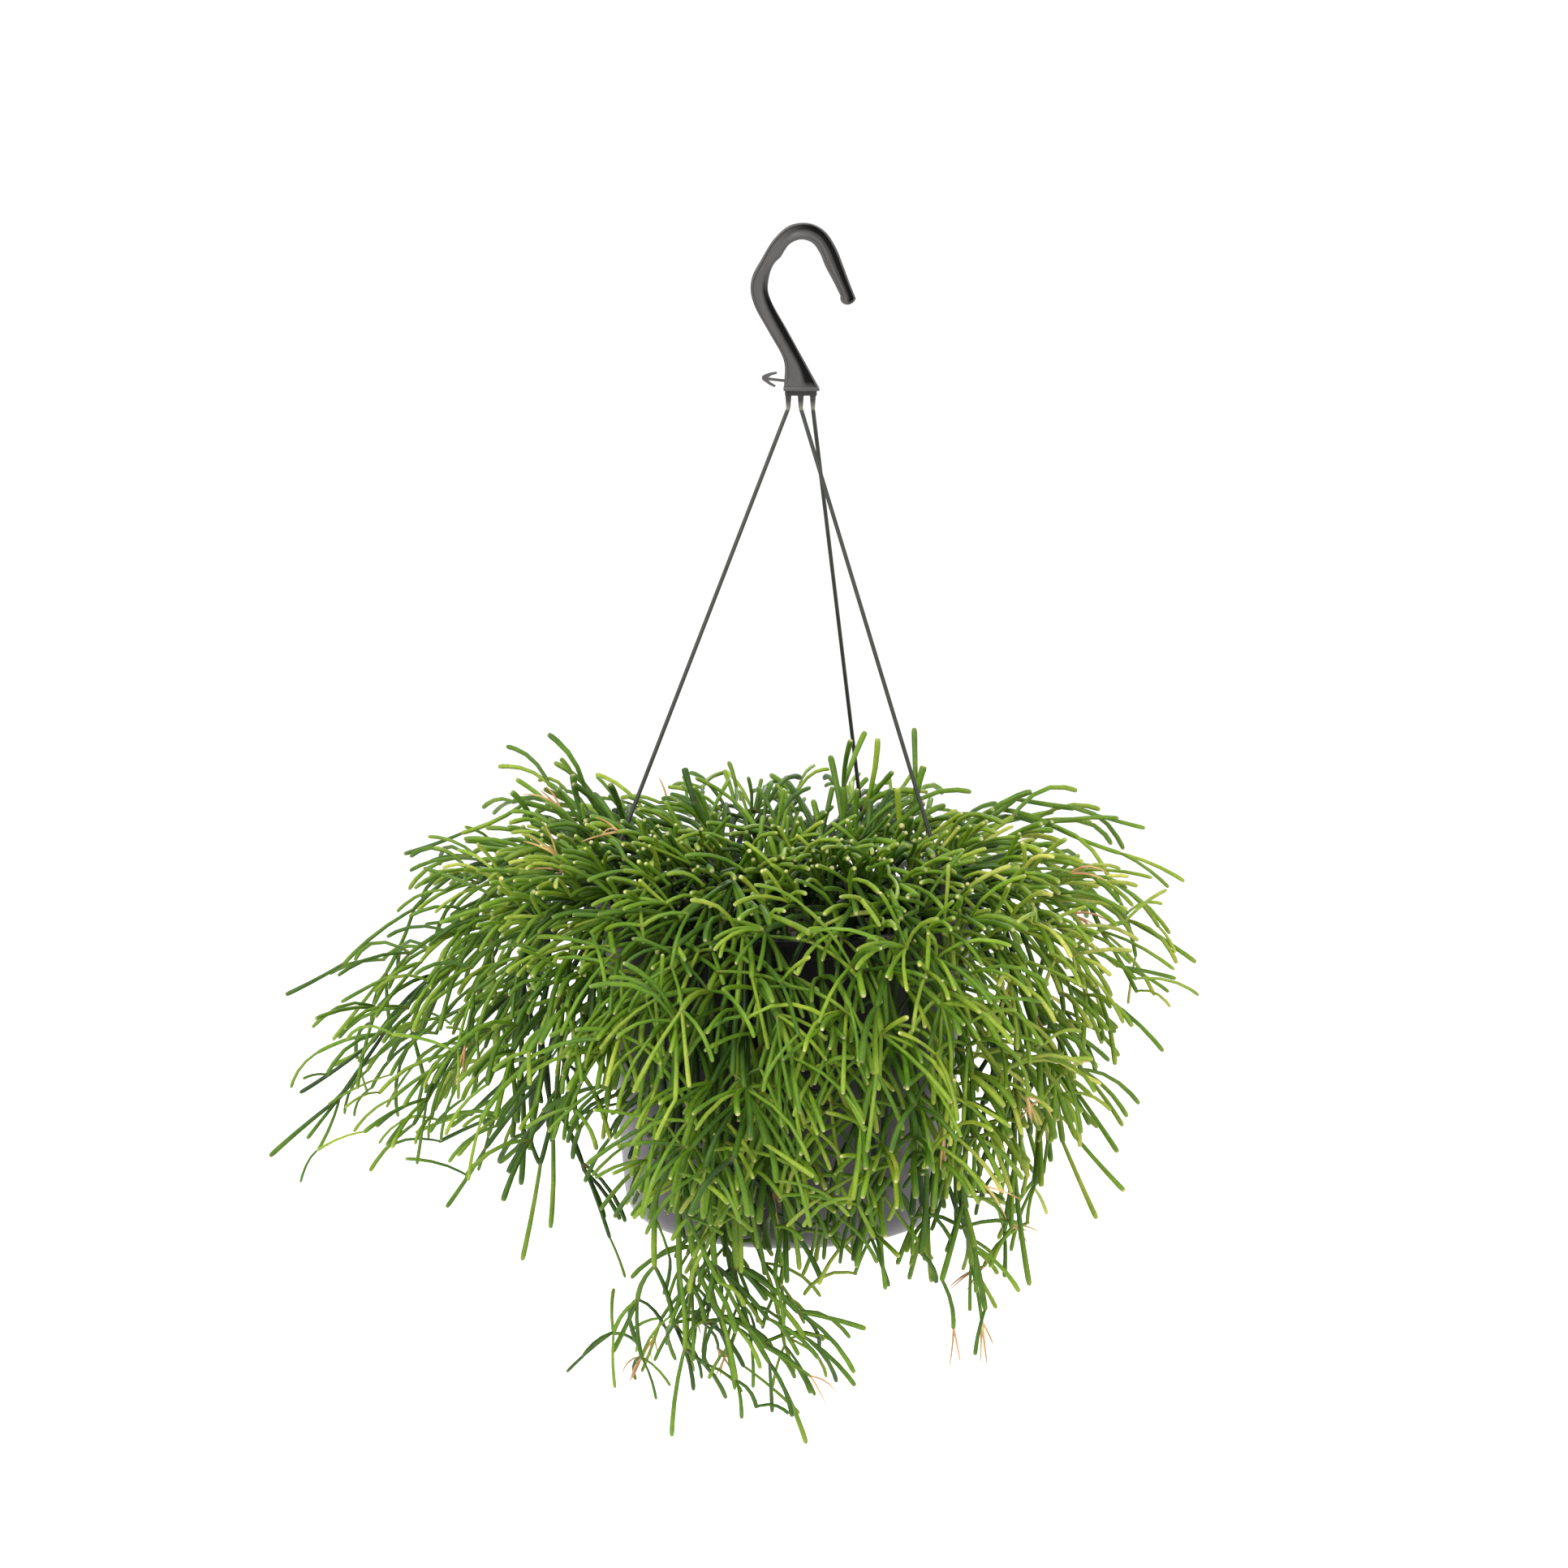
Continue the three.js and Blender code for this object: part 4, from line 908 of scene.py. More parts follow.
def whorl(spray, start, start_id, heading, side, count, level, lengths, is_loose=False):
    """Twigs round a joint, with their forks and ends. The result is how many grew."""
    turn = spread_of(0, 360)
    ahead = zone("frontal", start)
    grown = 0
    for i in range(count):
        for _ in range(WHORL_TRIES):
            droop = spray["droop"] * spread_of(*DROOP_SHARE) * zone("sagging", start)
            droop -= spread_of(*CROWN_LIFT) * zone("crown", start)
            droop += ahead * spread_of(*FRONT_DROOP)
            towards = turn + 360 * i / count + spread_of(*WHORL_WAVER)
            length = spread_of(*lengths) * (1 + FRONT_LENGTHENING * ahead)
            radius = spread_of(*(TWIG_WIDTH if level < 2 else FORK_WIDTH)) * slimness(start)
            lean = spread_of(*TWIG_LEAN) * (1 + FRONT_LEAN * ahead)
            found = twig(
                spray, start, start_id, heading, side, towards, lean, length, radius, droop, is_loose)
            if found is not None:
                break
        if not found:
            continue
        grown += 1
        end, number, direction = found
        end_side = square(side, direction)
        inner = 0
        if fine() < FORK_CHANCE[level]:
            wanted = math.floor(spread_of(*FORK_COUNT))
            inner = whorl(spray, end, number, direction, end_side, wanted, level + 1, FORK_LENGTH, is_loose)
        is_tip = inner == 0
        if is_tip and fine() < BLUSH_CHANCE + in_zones(BLUSH_SHARES, end):
            blushing(spray, end, direction, end_side)
            is_tip = False
        club(spray, start, end, radius, level, is_tip)
    return grown


def blushing(spray, start, heading, side):
    turn = spread_of(0, 360)
    for i in range(math.floor(spread_of(*BLUSH_COUNT))):
        turned = splayed(heading, side, spread_of(*BLUSH_LEAN), turn + BLUSH_TURN * i)
        end = plus(start, unit((turned[0], turned[1], turned[2] - BLUSH_DROOP)), spread_of(*BLUSH_LENGTH))
        if in_box(end):
            club(spray, start, end, spread_of(*BLUSH_WIDTH), BLUSH_LEVEL, False, spread_of(*BLUSH_STRENGTH))


def dress(spray, stem, level, is_leader):
    """Segments along a stem, with whorls of twigs at its joints."""
    points = stem["points"]
    last = len(points) - 1
    for joint in range(1, last + 1):
        radius = spread_of(*(LEADER_WIDTH if is_leader else SHOOT_WIDTH)) * slimness(points[joint])
        heading, side = stem["headings"][joint], stem["sides"][joint]
        children = [child for at, _, child in stem["children"] if at == joint]
        is_end = joint == last
        tips = 0
        if joint > 1 or not is_leader or zone("rim_front", points[joint]) > RIM_TWIGS_FROM:
            busy = len(children) + (0 if is_end else 1)
            twigs = spread_of(*(MANY_TWIGS if busy == 0 else FEW_TWIGS))
            wanted = math.floor(twigs * sparseness(points[joint]))
            is_loose = is_leader and joint > last - LOOSE_JOINTS
            tips = whorl(
                spray, points[joint], stem["ids"][joint], heading, side, wanted, level + 1, TWIG_LENGTH,
                is_loose)
        is_tip = is_end and not children and tips == 0
        club(spray, points[joint - 1], points[joint], radius, level, is_tip)
    for _, _, child in stem["children"]:
        dress(spray, child, level + 1, False)


for spray in sprays:
    spray["clubs"] = []
    dress(spray, spray["leader"], 0, True)

# Meshes

SIDES = 8
TURNS = np.arange(SIDES) * 2 * math.pi / SIDES
BOX_INSET = 0.03
box_low = np.array(cad_box[0]) / MM + BOX_INSET
box_high = np.array(cad_box[1]) / MM - BOX_INSET

# Rings along a segment: their places, and the widths of a green one, a pink one and a last one
RING_PLACES = np.array([0.0, 0.05, 0.13, 0.36, 0.62, 0.84, 0.94, 0.985, 1.0])
GREEN_WIDTHS = np.array([0.60, 0.72, 0.78, 0.86, 0.94, 1.0, 0.98, 0.84, 0.5])
PINK_WIDTHS = np.array([0.8, 1.0, 1.0, 0.95, 0.82, 0.6, 0.42, 0.3, 0.12])
TIP_SWELL = np.array([1, 1, 1, 1, 1, 1.03, 1.06, 1.02, 0.95])
TIP_COLOUR = [0, 0, 0, 0, 0, 0, 0, 0.12, 1.0]
RINGS = len(RING_PLACES)
START_SUNK = 0.7
END_SUNK = 0.5
TIP_DIMPLE = 0.12
END_BULGE = 0.25
RING_GUIDE = (0.31, 0.52, 0.79)
AGE_ALONG = 0.12
TIP_LEAST = 0.2


def club_faces():
    faces = []
    for ring in range(RINGS - 1):
        low, high = ring * SIDES, (ring + 1) * SIDES
        for k in range(SIDES):
            n = (k + 1) % SIDES
            faces.append((low + k, low + n, high + n, high + k))
    foot, crown = RINGS * SIDES, RINGS * SIDES + 1
    for k in range(SIDES):
        n = (k + 1) % SIDES
        faces.append((foot, n, k))
        faces.append((crown, (RINGS - 1) * SIDES + k, (RINGS - 1) * SIDES + n))
    return faces


CLUB_FACES = club_faces()


def club_points(start, middle, end, radius, is_tip, blush):
    a, c = np.array(start), np.array(end)
    b = 2 * np.array(middle) - (a + c) / 2
    t = RING_PLACES[:, None]
    path = a * (1 - t) ** 2 + b * 2 * t * (1 - t) + c * t ** 2
    tangent = (b - a) * (1 - t) + (c - b) * t
    tangent /= np.linalg.norm(tangent, axis=1)[:, None]
    path = path - tangent[:1] * (START_SUNK * (1 - t)) + (0.0 if is_tip else END_SUNK) * tangent[-1:] * t
    guide = np.array(across(unit(tuple(c - a)), RING_GUIDE))
    side = guide - tangent * (tangent @ guide)[:, None]
    side /= np.linalg.norm(side, axis=1)[:, None]
    other = np.cross(tangent, side)
    size = radius * (PINK_WIDTHS if blush else GREEN_WIDTHS)
    if is_tip:
        size = size * TIP_SWELL
    ring = side[:, None, :] * np.cos(TURNS)[None, :, None] + other[:, None, :] * np.sin(TURNS)[None, :, None]
    skin = path[:, None, :] + ring * size[:, None, None]
    caps = np.array([path[0], path[-1] - tangent[-1] * (TIP_DIMPLE if is_tip else -END_BULGE)])
    return np.concatenate([skin.reshape(-1, 3), caps])


def spray_mesh(spray):
    points, faces = [], []
    shades = {"age_and_painted_light": [], "tip": [], "blush": [], "along": [], "tone": []}
    per = RINGS * SIDES + 2
    rings = np.concatenate([np.repeat(RING_PLACES, SIDES), [0.0, 1.0]])
    tip_rings = np.concatenate([np.repeat(TIP_COLOUR, SIDES), [0, 1.0]])
    for number, (start, middle, end, radius, is_tip, pink, age_and_painted_light, own) in enumerate(spray["clubs"]):
        points.append(club_points(start, middle, end, radius, is_tip, pink))
        base = number * per
        faces.extend(tuple(base + v for v in face) for face in CLUB_FACES)
        shades["age_and_painted_light"].append(np.full(per, age_and_painted_light) + AGE_ALONG * (rings - 0.5))
        shades["tip"].append(tip_rings * ((TIP_LEAST + (1 - TIP_LEAST) * own) if is_tip else 0.0))
        shades["blush"].append(np.full(per, pink))
        shades["along"].append(rings)
        shades["tone"].append(np.full(per, own))
    mesh = bpy.data.meshes.new(f"{spray['name']}_stems")
    mesh.from_pydata(np.clip(np.concatenate(points), box_low, box_high) * MM, [], faces)
    for name, values in shades.items():
        layer = mesh.attributes.new(name, "FLOAT", "POINT")
        layer.data.foreach_set("value", np.concatenate(values).astype(np.float32))
    mesh.shade_smooth()
    return mesh


def in_scene(name, data):
    thing = bpy.data.objects.new(name, data)
    bpy.context.collection.objects.link(thing)
    return thing


def shown(mesh, material, replaced):
    piece = in_scene(mesh.name, mesh)
    mesh.materials.clear()
    mesh.materials.append(material)
    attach(piece, "root")
    if replaced:
        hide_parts(*replaced)
    return piece


def mesh_from(build, name, smooth_angle=None):
    body = bmesh.new()
    build(body)
    mesh = bpy.data.meshes.new(name)
    bmesh.ops.recalc_face_normals(body, faces=body.faces)
    body.to_mesh(mesh)
    body.free()
    mesh.shade_smooth()
    if smooth_angle:
        mesh.set_sharp_from_angle(angle=radians(smooth_angle))
    return mesh


# Materials

NOISE_MIDDLE = (0.3, 0.7)


class Nodes:
    def __init__(self, name):
        self.material = bpy.data.materials.new(name)
        self.material.use_nodes = True
        self.tree = self.material.node_tree
        self.shader = self.tree.nodes["Principled BSDF"]

    def add(self, kind, **settings):
        node = self.tree.nodes.new(kind)
        for key, value in settings.items():
            setattr(node, key, value)
        return node

    def feed(self, value, socket):
        """Links an output to a socket, or sets a constant on it."""
        if hasattr(value, "is_linked"):
            self.tree.links.new(value, socket)
        else:
            socket.default_value = value

    def shade(self, **values):
        for name, value in values.items():
            self.feed(value, self.shader.inputs[name.replace("_", " ")])

    def coordinates(self):
        return self.add("ShaderNodeTexCoord").outputs["Object"]

    def place(self, axis):
        node = self.add("ShaderNodeSeparateXYZ")
        self.feed(self.coordinates(), node.inputs[0])
        return node.outputs[axis]

    def noise(self, scale, detail=3.0, roughness=0.55):
        node = self.add("ShaderNodeTexNoise")
        for key, value in (("Scale", scale), ("Detail", detail), ("Roughness", roughness)):
            node.inputs[key].default_value = value
        self.feed(self.coordinates(), node.inputs["Vector"])
        return node.outputs["Fac"]

    def value(self, name):
        return self.add("ShaderNodeAttribute", attribute_name=name).outputs["Fac"]

    def ramp(self, factor, stops):
        node = self.add("ShaderNodeValToRGB")
        elements = node.color_ramp.elements
        elements[0].position, elements[0].color = stops[0][0], (*stops[0][1], 1)
        elements[1].position, elements[1].color = stops[-1][0], (*stops[-1][1], 1)
        for position, colour in stops[1:-1]:
            elements.new(position).color = (*colour, 1)
        self.feed(factor, node.inputs["Fac"])
        return node.outputs["Color"]

    def range(self, value, low, high, to_low, to_high):
        node = self.add("ShaderNodeMapRange")
        for key, number in (("From Min", low), ("From Max", high), ("To Min", to_low), ("To Max", to_high)):
            node.inputs[key].default_value = number
        self.feed(value, node.inputs["Value"])
        return node.outputs["Result"]

    def mottle(self, scale, detail, low, high):
        """Noise that lies between two values."""
        return self.range(self.noise(scale, detail), *NOISE_MIDDLE, low, high)

    def join(self, operation, first, second):
        node = self.add("ShaderNodeMath", operation=operation)
        self.feed(first, node.inputs[0])
        self.feed(second, node.inputs[1])
        return node.outputs[0]

    def mix(self, factor, first, second, kind="MIX"):
        node = self.add("ShaderNodeMix", data_type="RGBA", blend_type=kind)
        for socket, value in ((0, factor), (6, first), (7, second)):
            self.feed(value, node.inputs[socket])
        return node.outputs[2]

    def times(self, first, second):
        return self.mix(1.0, first, second, "MULTIPLY")

    def bump(self, height, strength, distance):
        node = self.add("ShaderNodeBump")
        node.inputs["Strength"].default_value = strength
        node.inputs["Distance"].default_value = distance
        self.feed(height, node.inputs["Height"])
        self.shade(Normal=node.outputs["Normal"])


COLLAR_BROWN = (0.17, 0.105, 0.035, 1)
TIP_CREAM = (0.46, 0.41, 0.19, 1)


def stem_material():
    n = Nodes("stem_skin")
    # The green follows the age, which carries painted light and shade as well
    green = n.ramp(n.join("ADD", n.value("age_and_painted_light"), n.mottle(60, 2, -0.14, 0.14)), [
        (0.0, (0.006, 0.022, 0.001)), (0.3, (0.037, 0.094, 0.003)), (0.55, (0.092, 0.180, 0.007)),
        (0.8, (0.195, 0.266, 0.022)), (1.0, (0.36, 0.365, 0.08))])
    fleck = n.ramp(n.noise(900, 2), [(0.35, (0.86, 0.86, 0.86)), (0.7, (1.1, 1.1, 1.06))])
    tone = n.ramp(n.value("tone"), [(0.0, (0.78, 0.8, 0.8)), (1.0, (1.16, 1.12, 1.0))])
    green = n.times(n.times(green, fleck), tone)
    green = n.mix(n.range(n.value("along"), 0.0, 0.12, 0.55, 0.0), green, COLLAR_BROWN)
    pink = n.ramp(n.noise(150, 1), [(0.35, (0.38, 0.16, 0.075)), (0.65, (0.50, 0.31, 0.14))])
    green = n.mix(n.value("tip"), n.mix(n.value("blush"), green, pink), TIP_CREAM)
    n.shade(Base_Color=green, Roughness=n.mottle(300, 2, 0.4, 0.56), Specular_IOR_Level=0.22)
    n.bump(n.noise(700, 3), 0.25, 0.0003)
    return n.material


# Heights at which the painted shade on the pot's upper wall, where the stems shade it, begins and is full
PAINTED_SHADE_Z = (-0.340, -0.305)
# Span in X of the painted shade over the pot's middle, lighter towards its sides
PAINTED_SHADE_X = (-0.078, 0.062)


def pot_material():
    n = Nodes("pot_plastic_skin")
    cloud = n.ramp(n.noise(14, 4), [(0.3, (0.076, 0.067, 0.072)), (0.7, (0.104, 0.094, 0.100))])
    dust = n.ramp(n.noise(420, 4, 0.7), [(0.45, (0.94, 0.94, 0.94)), (0.75, (1.18, 1.16, 1.14))])
    # Painted shade: the upper wall is darkened and made less shiny towards the rim
    upper = n.range(n.place("Z"), *PAINTED_SHADE_Z, 0.0, 1.0)
    painted_top_shade = n.ramp(upper, [(0.0, (1, 1, 1)), (1.0, (0.16, 0.17, 0.14))])
    # Painted shade: the middle of the pot is darkened, as in the shadow of the dense stems in front
    side = n.ramp(n.range(n.place("X"), *PAINTED_SHADE_X, 0.0, 1.0), [
        (0.0, (1.0, 1.0, 1.0)), (0.2, (0.45, 0.45, 0.45)), (0.75, (0.45, 0.45, 0.45)),
        (1.0, (0.8, 0.8, 0.8))])
    # Mottle and dust, times the painted shade
    dust_and_painted_shade = n.times(n.times(n.times(cloud, dust), side), painted_top_shade)
    n.shade(
        Base_Color=dust_and_painted_shade, Roughness=n.mottle(35, 5, 0.30, 0.44),
        Specular_IOR_Level=n.range(upper, 0.0, 1.0, 0.5, 0.12))
    n.bump(n.noise(900, 2), 0.12, 0.0002)
    return n.material


# Heights at which the hanger's colours change: the legs, the rods, and the pale band where they meet
LEGS_Z = (-0.0571, -0.0577)
RODS_Z = (-0.0625, -0.066)
BAND_Z = (-0.0608, -0.0634)
BAND_END_Z = (-0.0638, -0.0645)
# Painted shade: the deep side of the hook's recess is darkened nearly to black
RECESS_PAINTED_SHADE = (0.005, 0.005, 0.005, 1)
LEG_BLACK = (0.010, 0.009, 0.008, 1)
BAND_GREEN = (0.19, 0.19, 0.13, 1)


def hanger_material():
    n = Nodes("hanger_plastic_skin")
    height = n.place("Z")
    dark = n.ramp(n.noise(60, 2), [(0.3, (0.043, 0.040, 0.038)), (0.7, (0.051, 0.048, 0.046))])
    # Painted shade darkens the recess, by the shade each point holds
    hook = n.mix(n.value("painted_recess_shade"), dark, RECESS_PAINTED_SHADE)
    legs = n.mix(n.range(height, *LEGS_Z, 0.0, 0.75), hook, LEG_BLACK)
    green = n.ramp(n.noise(200, 3), [(0.3, (0.014, 0.016, 0.012)), (0.7, (0.022, 0.024, 0.018))])
    body = n.mix(n.range(height, *RODS_Z, 0.0, 1.0), legs, green)
    band = n.join("MULTIPLY", n.range(height, *BAND_Z, 0.0, 0.55), n.range(height, *BAND_END_Z, 1.0, 0.0))
    n.shade(
        Base_Color=n.mix(band, body, BAND_GREEN), Roughness=n.mottle(90, 3, 0.42, 0.5),
        Specular_IOR_Level=n.range(n.value("painted_recess_shade"), 0.0, 1.0, 0.32, 0.04))
    n.bump(n.noise(1500, 2), 0.04, 0.0002)
    return n.material


def soil_material():
    n = Nodes("soil_crumb")
    brown = n.ramp(n.noise(260, 5, 0.7), [
        (0.3, (0.012, 0.008, 0.005)), (0.55, (0.040, 0.026, 0.015)), (0.78, (0.105, 0.070, 0.040))])
    n.shade(Base_Color=brown, Roughness=n.mottle(200, 3, 0.8, 1.0))
    n.bump(n.noise(500, 5, 0.7), 0.9, 0.0012)
    return n.material


def floor_material():
    n = Nodes("floor_white")
    n.shade(Base_Color=(0.96, 0.96, 0.96, 1), Roughness=0.9)
    return n.material


STEM = stem_material()
POT = pot_material()
HANGER = hanger_material()
SOIL = soil_material()

for spray in sprays:
    shown(spray_mesh(spray), STEM, [spray["name"]])

# Pot

BASE_RINGS = (0, 20, 40)
INNER_BASE_RINGS = (30, 0)
FOOT_STEPS = 8
WALL_STEPS = 14
SKIRT_ROUND = 0.45
SKIRT_INNER_EDGE = 0.3
SKIRT_OUTER_EDGE = 0.6
RIM_ROUND = 1.6
RIM_SIDE_EDGE = 2.4
RIM_TOP_EDGE = 2.6
LIP_ROUND = 0.6
LIP_EDGE = 0.8
POT_DRAWN_FACETS = 144
POT_SHARP_ANGLE = 38
DRAIN_FACETS = 28
DRAIN_CUT_DEPTH = 6
SLOT_CUT_HEIGHT = 4
SLOT_CUT_MIDDLE = -1


def arc(centre, radius, from_angle, to_angle, steps):
    turns = [radians(from_angle + (to_angle - from_angle) * i / steps) for i in range(steps + 1)]
    return [(centre[0] + radius * math.cos(turn), centre[1] + radius * math.sin(turn)) for turn in turns]


def straight(a, b, steps):
    return [(a[0] + (b[0] - a[0]) * i / steps, a[1] + (b[1] - a[1]) * i / steps) for i in range(1, steps)]


def foot_curve(inset, steps):
    a = (BASE_FLAT_RADIUS, -POT_HEIGHT + inset)
    b = (WALL_FOOT_RADIUS - 1 - inset, -POT_HEIGHT + inset)
    c = (WALL_FOOT_RADIUS - inset, -POT_HEIGHT + FOOT_ROUND_HEIGHT)
    found = []
    for i in range(steps + 1):
        t = i / steps
        found.append(tuple(a[k] * (1 - t) ** 2 + 2 * b[k] * t * (1 - t) + c[k] * t * t for k in range(2)))
    return found


def lathe(body, profile, facets):
    """A closed skin of revolution about the pot's axis, from (radius, height below the rim's top) points."""
    rings = []
    for radius, height in profile:
        ring = []
        for k in range(facets if radius else 1):
            turn = 2 * math.pi * k / facets
            place = (POT_AXIS_X + radius * math.cos(turn), radius * math.sin(turn), RIM_TOP_Z + height)
            ring.append(body.verts.new(Vector(place) * MM))
        rings.append(ring)
    for low, high in zip(rings, rings[1:]):
        for k in range(facets):
            n = (k + 1) % facets
            corners = [low[k % len(low)], low[n % len(low)], high[n % len(high)], high[k % len(high)]]
            unique = list(dict.fromkeys(corners))
            if len(unique) > 2:
                body.faces.new(unique)


def pot_profile():
    inner_top = WALL_TOP_RADIUS - POT_WALL
    skirt_inside = RIM_RADIUS - SKIRT_WALL
    wall_top = (WALL_TOP_RADIUS, -RIM_THICKNESS)
    foot = foot_curve(0, FOOT_STEPS)
    inner_foot = foot_curve(POT_WALL, FOOT_STEPS)
    inside = inner_foot + straight(inner_foot[-1], (inner_top, -LIP_EDGE), WALL_STEPS)
    return ([(radius, -POT_HEIGHT) for radius in BASE_RINGS] + foot
            + straight(foot[-1], wall_top, WALL_STEPS) + [wall_top, (skirt_inside, -RIM_THICKNESS)]
            + [(skirt_inside, -RIM_SKIRT + SKIRT_INNER_EDGE)]
            + arc((RIM_RADIUS - SKIRT_WALL / 2, -RIM_SKIRT + SKIRT_ROUND), SKIRT_ROUND, 180, 360, 4)
            + [(RIM_RADIUS, -RIM_SKIRT + SKIRT_OUTER_EDGE), (RIM_RADIUS, -RIM_SIDE_EDGE)]
            + arc((RIM_RADIUS - RIM_ROUND, -RIM_ROUND), RIM_ROUND, 0, 90, 5)
            + [(RIM_RADIUS - RIM_TOP_EDGE, 0), (inner_top + LIP_EDGE, 0)]
            + arc((inner_top + LIP_ROUND, -LIP_ROUND), LIP_ROUND, 90, 180, 3) + list(reversed(inside))
            + [(radius, -POT_HEIGHT + POT_WALL) for radius in INNER_BASE_RINGS])


def pot_build(body):
    lathe(body, pot_profile(), POT_DRAWN_FACETS)


def pot_cuts(body):
    for i in range(DRAIN_COUNT):
        angle = 2 * math.pi * (i + 0.5) / DRAIN_COUNT
        out = (DRAIN_CIRCLE_RADIUS * math.cos(angle), DRAIN_CIRCLE_RADIUS * math.sin(angle))
        centre = Vector((POT_AXIS_X + out[0], out[1], RIM_TOP_Z - POT_HEIGHT)) * MM
        bmesh.ops.create_cone(
            body, cap_ends=True, segments=DRAIN_FACETS, radius1=DRAIN_RADIUS * MM, radius2=DRAIN_RADIUS * MM,
            depth=DRAIN_CUT_DEPTH * MM, matrix=Matrix.Translation(centre))
    rim = Matrix.Translation(Vector((POT_AXIS_X, 0, RIM_TOP_Z)) * MM)
    middle = Matrix.Translation(Vector((CLIP_CIRCLE_RADIUS, 0, SLOT_CUT_MIDDLE)) * MM)
    size = (SLOT_DEPTH * MM, (CLIP_WIDTH + 2 * CLEARANCE) * MM, SLOT_CUT_HEIGHT * MM, 1)
    for _, _, angle in RODS:
        place = rim @ Matrix.Rotation(radians(angle), 4, "Z") @ middle @ Matrix.Diagonal(size)
        bmesh.ops.create_cube(body, size=1, matrix=place)


def applied(piece):
    """Takes a piece's modifiers into its mesh."""
    mesh = bpy.data.meshes.new_from_object(piece.evaluated_get(bpy.context.evaluated_depsgraph_get()))
    piece.modifiers.clear()
    old = piece.data
    piece.data = mesh
    bpy.data.meshes.remove(old)
    mesh.name = piece.name


pot = shown(mesh_from(pot_build, "pot_shell"), POT, ["pot"])
cuts = in_scene("pot_cuts", mesh_from(pot_cuts, "pot_cuts"))
cut = pot.modifiers.new("cut", "BOOLEAN")
cut.object, cut.operation, cut.solver = cuts, "DIFFERENCE", "EXACT"
applied(pot)
pot.data.shade_smooth()
pot.data.set_sharp_from_angle(angle=radians(POT_SHARP_ANGLE))
bpy.data.objects.remove(cuts)

# Soil

SOIL_STEPS = 24
SOIL_FOOT_STEPS = 3
SOIL_FACETS = 96
SOIL_TOP_ROOM = 0.1
WAVE_HEIGHT = 0.5
WAVE_SINK = 0.7
WAVE_EDGE = 4
CRUMB_SEED = 5150
CRUMB_COUNT = 620
CRUMB_CIRCLE_RADIUS = 68
CRUMB_SINK = 0.5
CRUMB_LEAST_SIZE = 0.7
CRUMB_MORE_SIZE = 1.5
CRUMB_LEAST_STRETCH = 0.6
CRUMB_MORE_STRETCH = 0.8
CRUMB_LEAST_BUMP = 0.75
CRUMB_MORE_BUMP = 0.5
CRUMB_SPIN = 6.28
CRUMB_TILT = 3.14
CRUMB_SHARP_ANGLE = 30
SOIL_TOP_RADIUS = 70


def wave(x, y):
    return math.sin(x * 0.53 + 1.3) * math.sin(y * 0.47) + 0.6 * math.sin(x * 1.31 + y * 0.9)


def soil_build(body):
    inset = POT_WALL + CLEARANCE
    edge = wall_radius(-SOIL_EDGE_DEPTH) - inset
    fall = SOIL_EDGE_DEPTH - SOIL_CENTRE_DEPTH
    shares = [1 - i / SOIL_STEPS for i in range(SOIL_STEPS)]
    mound = [(edge * share, -SOIL_CENTRE_DEPTH - fall * share ** 3) for share in shares]
    foot = [(0, -POT_HEIGHT + inset)] + foot_curve(inset, SOIL_FOOT_STEPS)
    lathe(body, foot + mound + [(0, -SOIL_CENTRE_DEPTH)], SOIL_FACETS)
    for vert in body.verts:
        x, y = vert.co.x / MM - POT_AXIS_X, vert.co.y / MM
        if vert.co.z / MM > RIM_TOP_Z - SOIL_EDGE_DEPTH - SOIL_TOP_ROOM:
            inwards = clamp((edge - math.hypot(x, y)) / WAVE_EDGE)
            vert.co.z += (wave(x, y) * WAVE_HEIGHT - WAVE_SINK) * MM * inwards


def crumbs_build(body):
    draw = make_random(CRUMB_SEED)
    fall = SOIL_EDGE_DEPTH - SOIL_CENTRE_DEPTH
    for _ in range(CRUMB_COUNT):
        angle, out = 2 * math.pi * draw(), CRUMB_CIRCLE_RADIUS * math.sqrt(draw())
        size = CRUMB_LEAST_SIZE + CRUMB_MORE_SIZE * draw() ** 2
        down = SOIL_CENTRE_DEPTH + fall * (out / SOIL_TOP_RADIUS) ** 3 + CRUMB_SINK
        centre = Vector((POT_AXIS_X + out * math.cos(angle), out * math.sin(angle), RIM_TOP_Z - down)) * MM
        scale = [size * (CRUMB_LEAST_STRETCH + CRUMB_MORE_STRETCH * draw()) * MM for _ in range(3)]
        turn = Matrix.Rotation(CRUMB_SPIN * draw(), 4, "Z") @ Matrix.Rotation(CRUMB_TILT * draw(), 4, "X")
        place = Matrix.Translation(centre) @ turn @ Matrix.Diagonal((*scale, 1))
        made = bmesh.ops.create_icosphere(body, subdivisions=1, radius=1, matrix=place)
        for vert in made["verts"]:
            vert.co = centre + (vert.co - centre) * (CRUMB_LEAST_BUMP + CRUMB_MORE_BUMP * draw())


shown(mesh_from(soil_build, "soil_bed"), SOIL, ["soil"])
shown(mesh_from(crumbs_build, "soil_crumbs", CRUMB_SHARP_ANGLE), SOIL, [])

# Hook

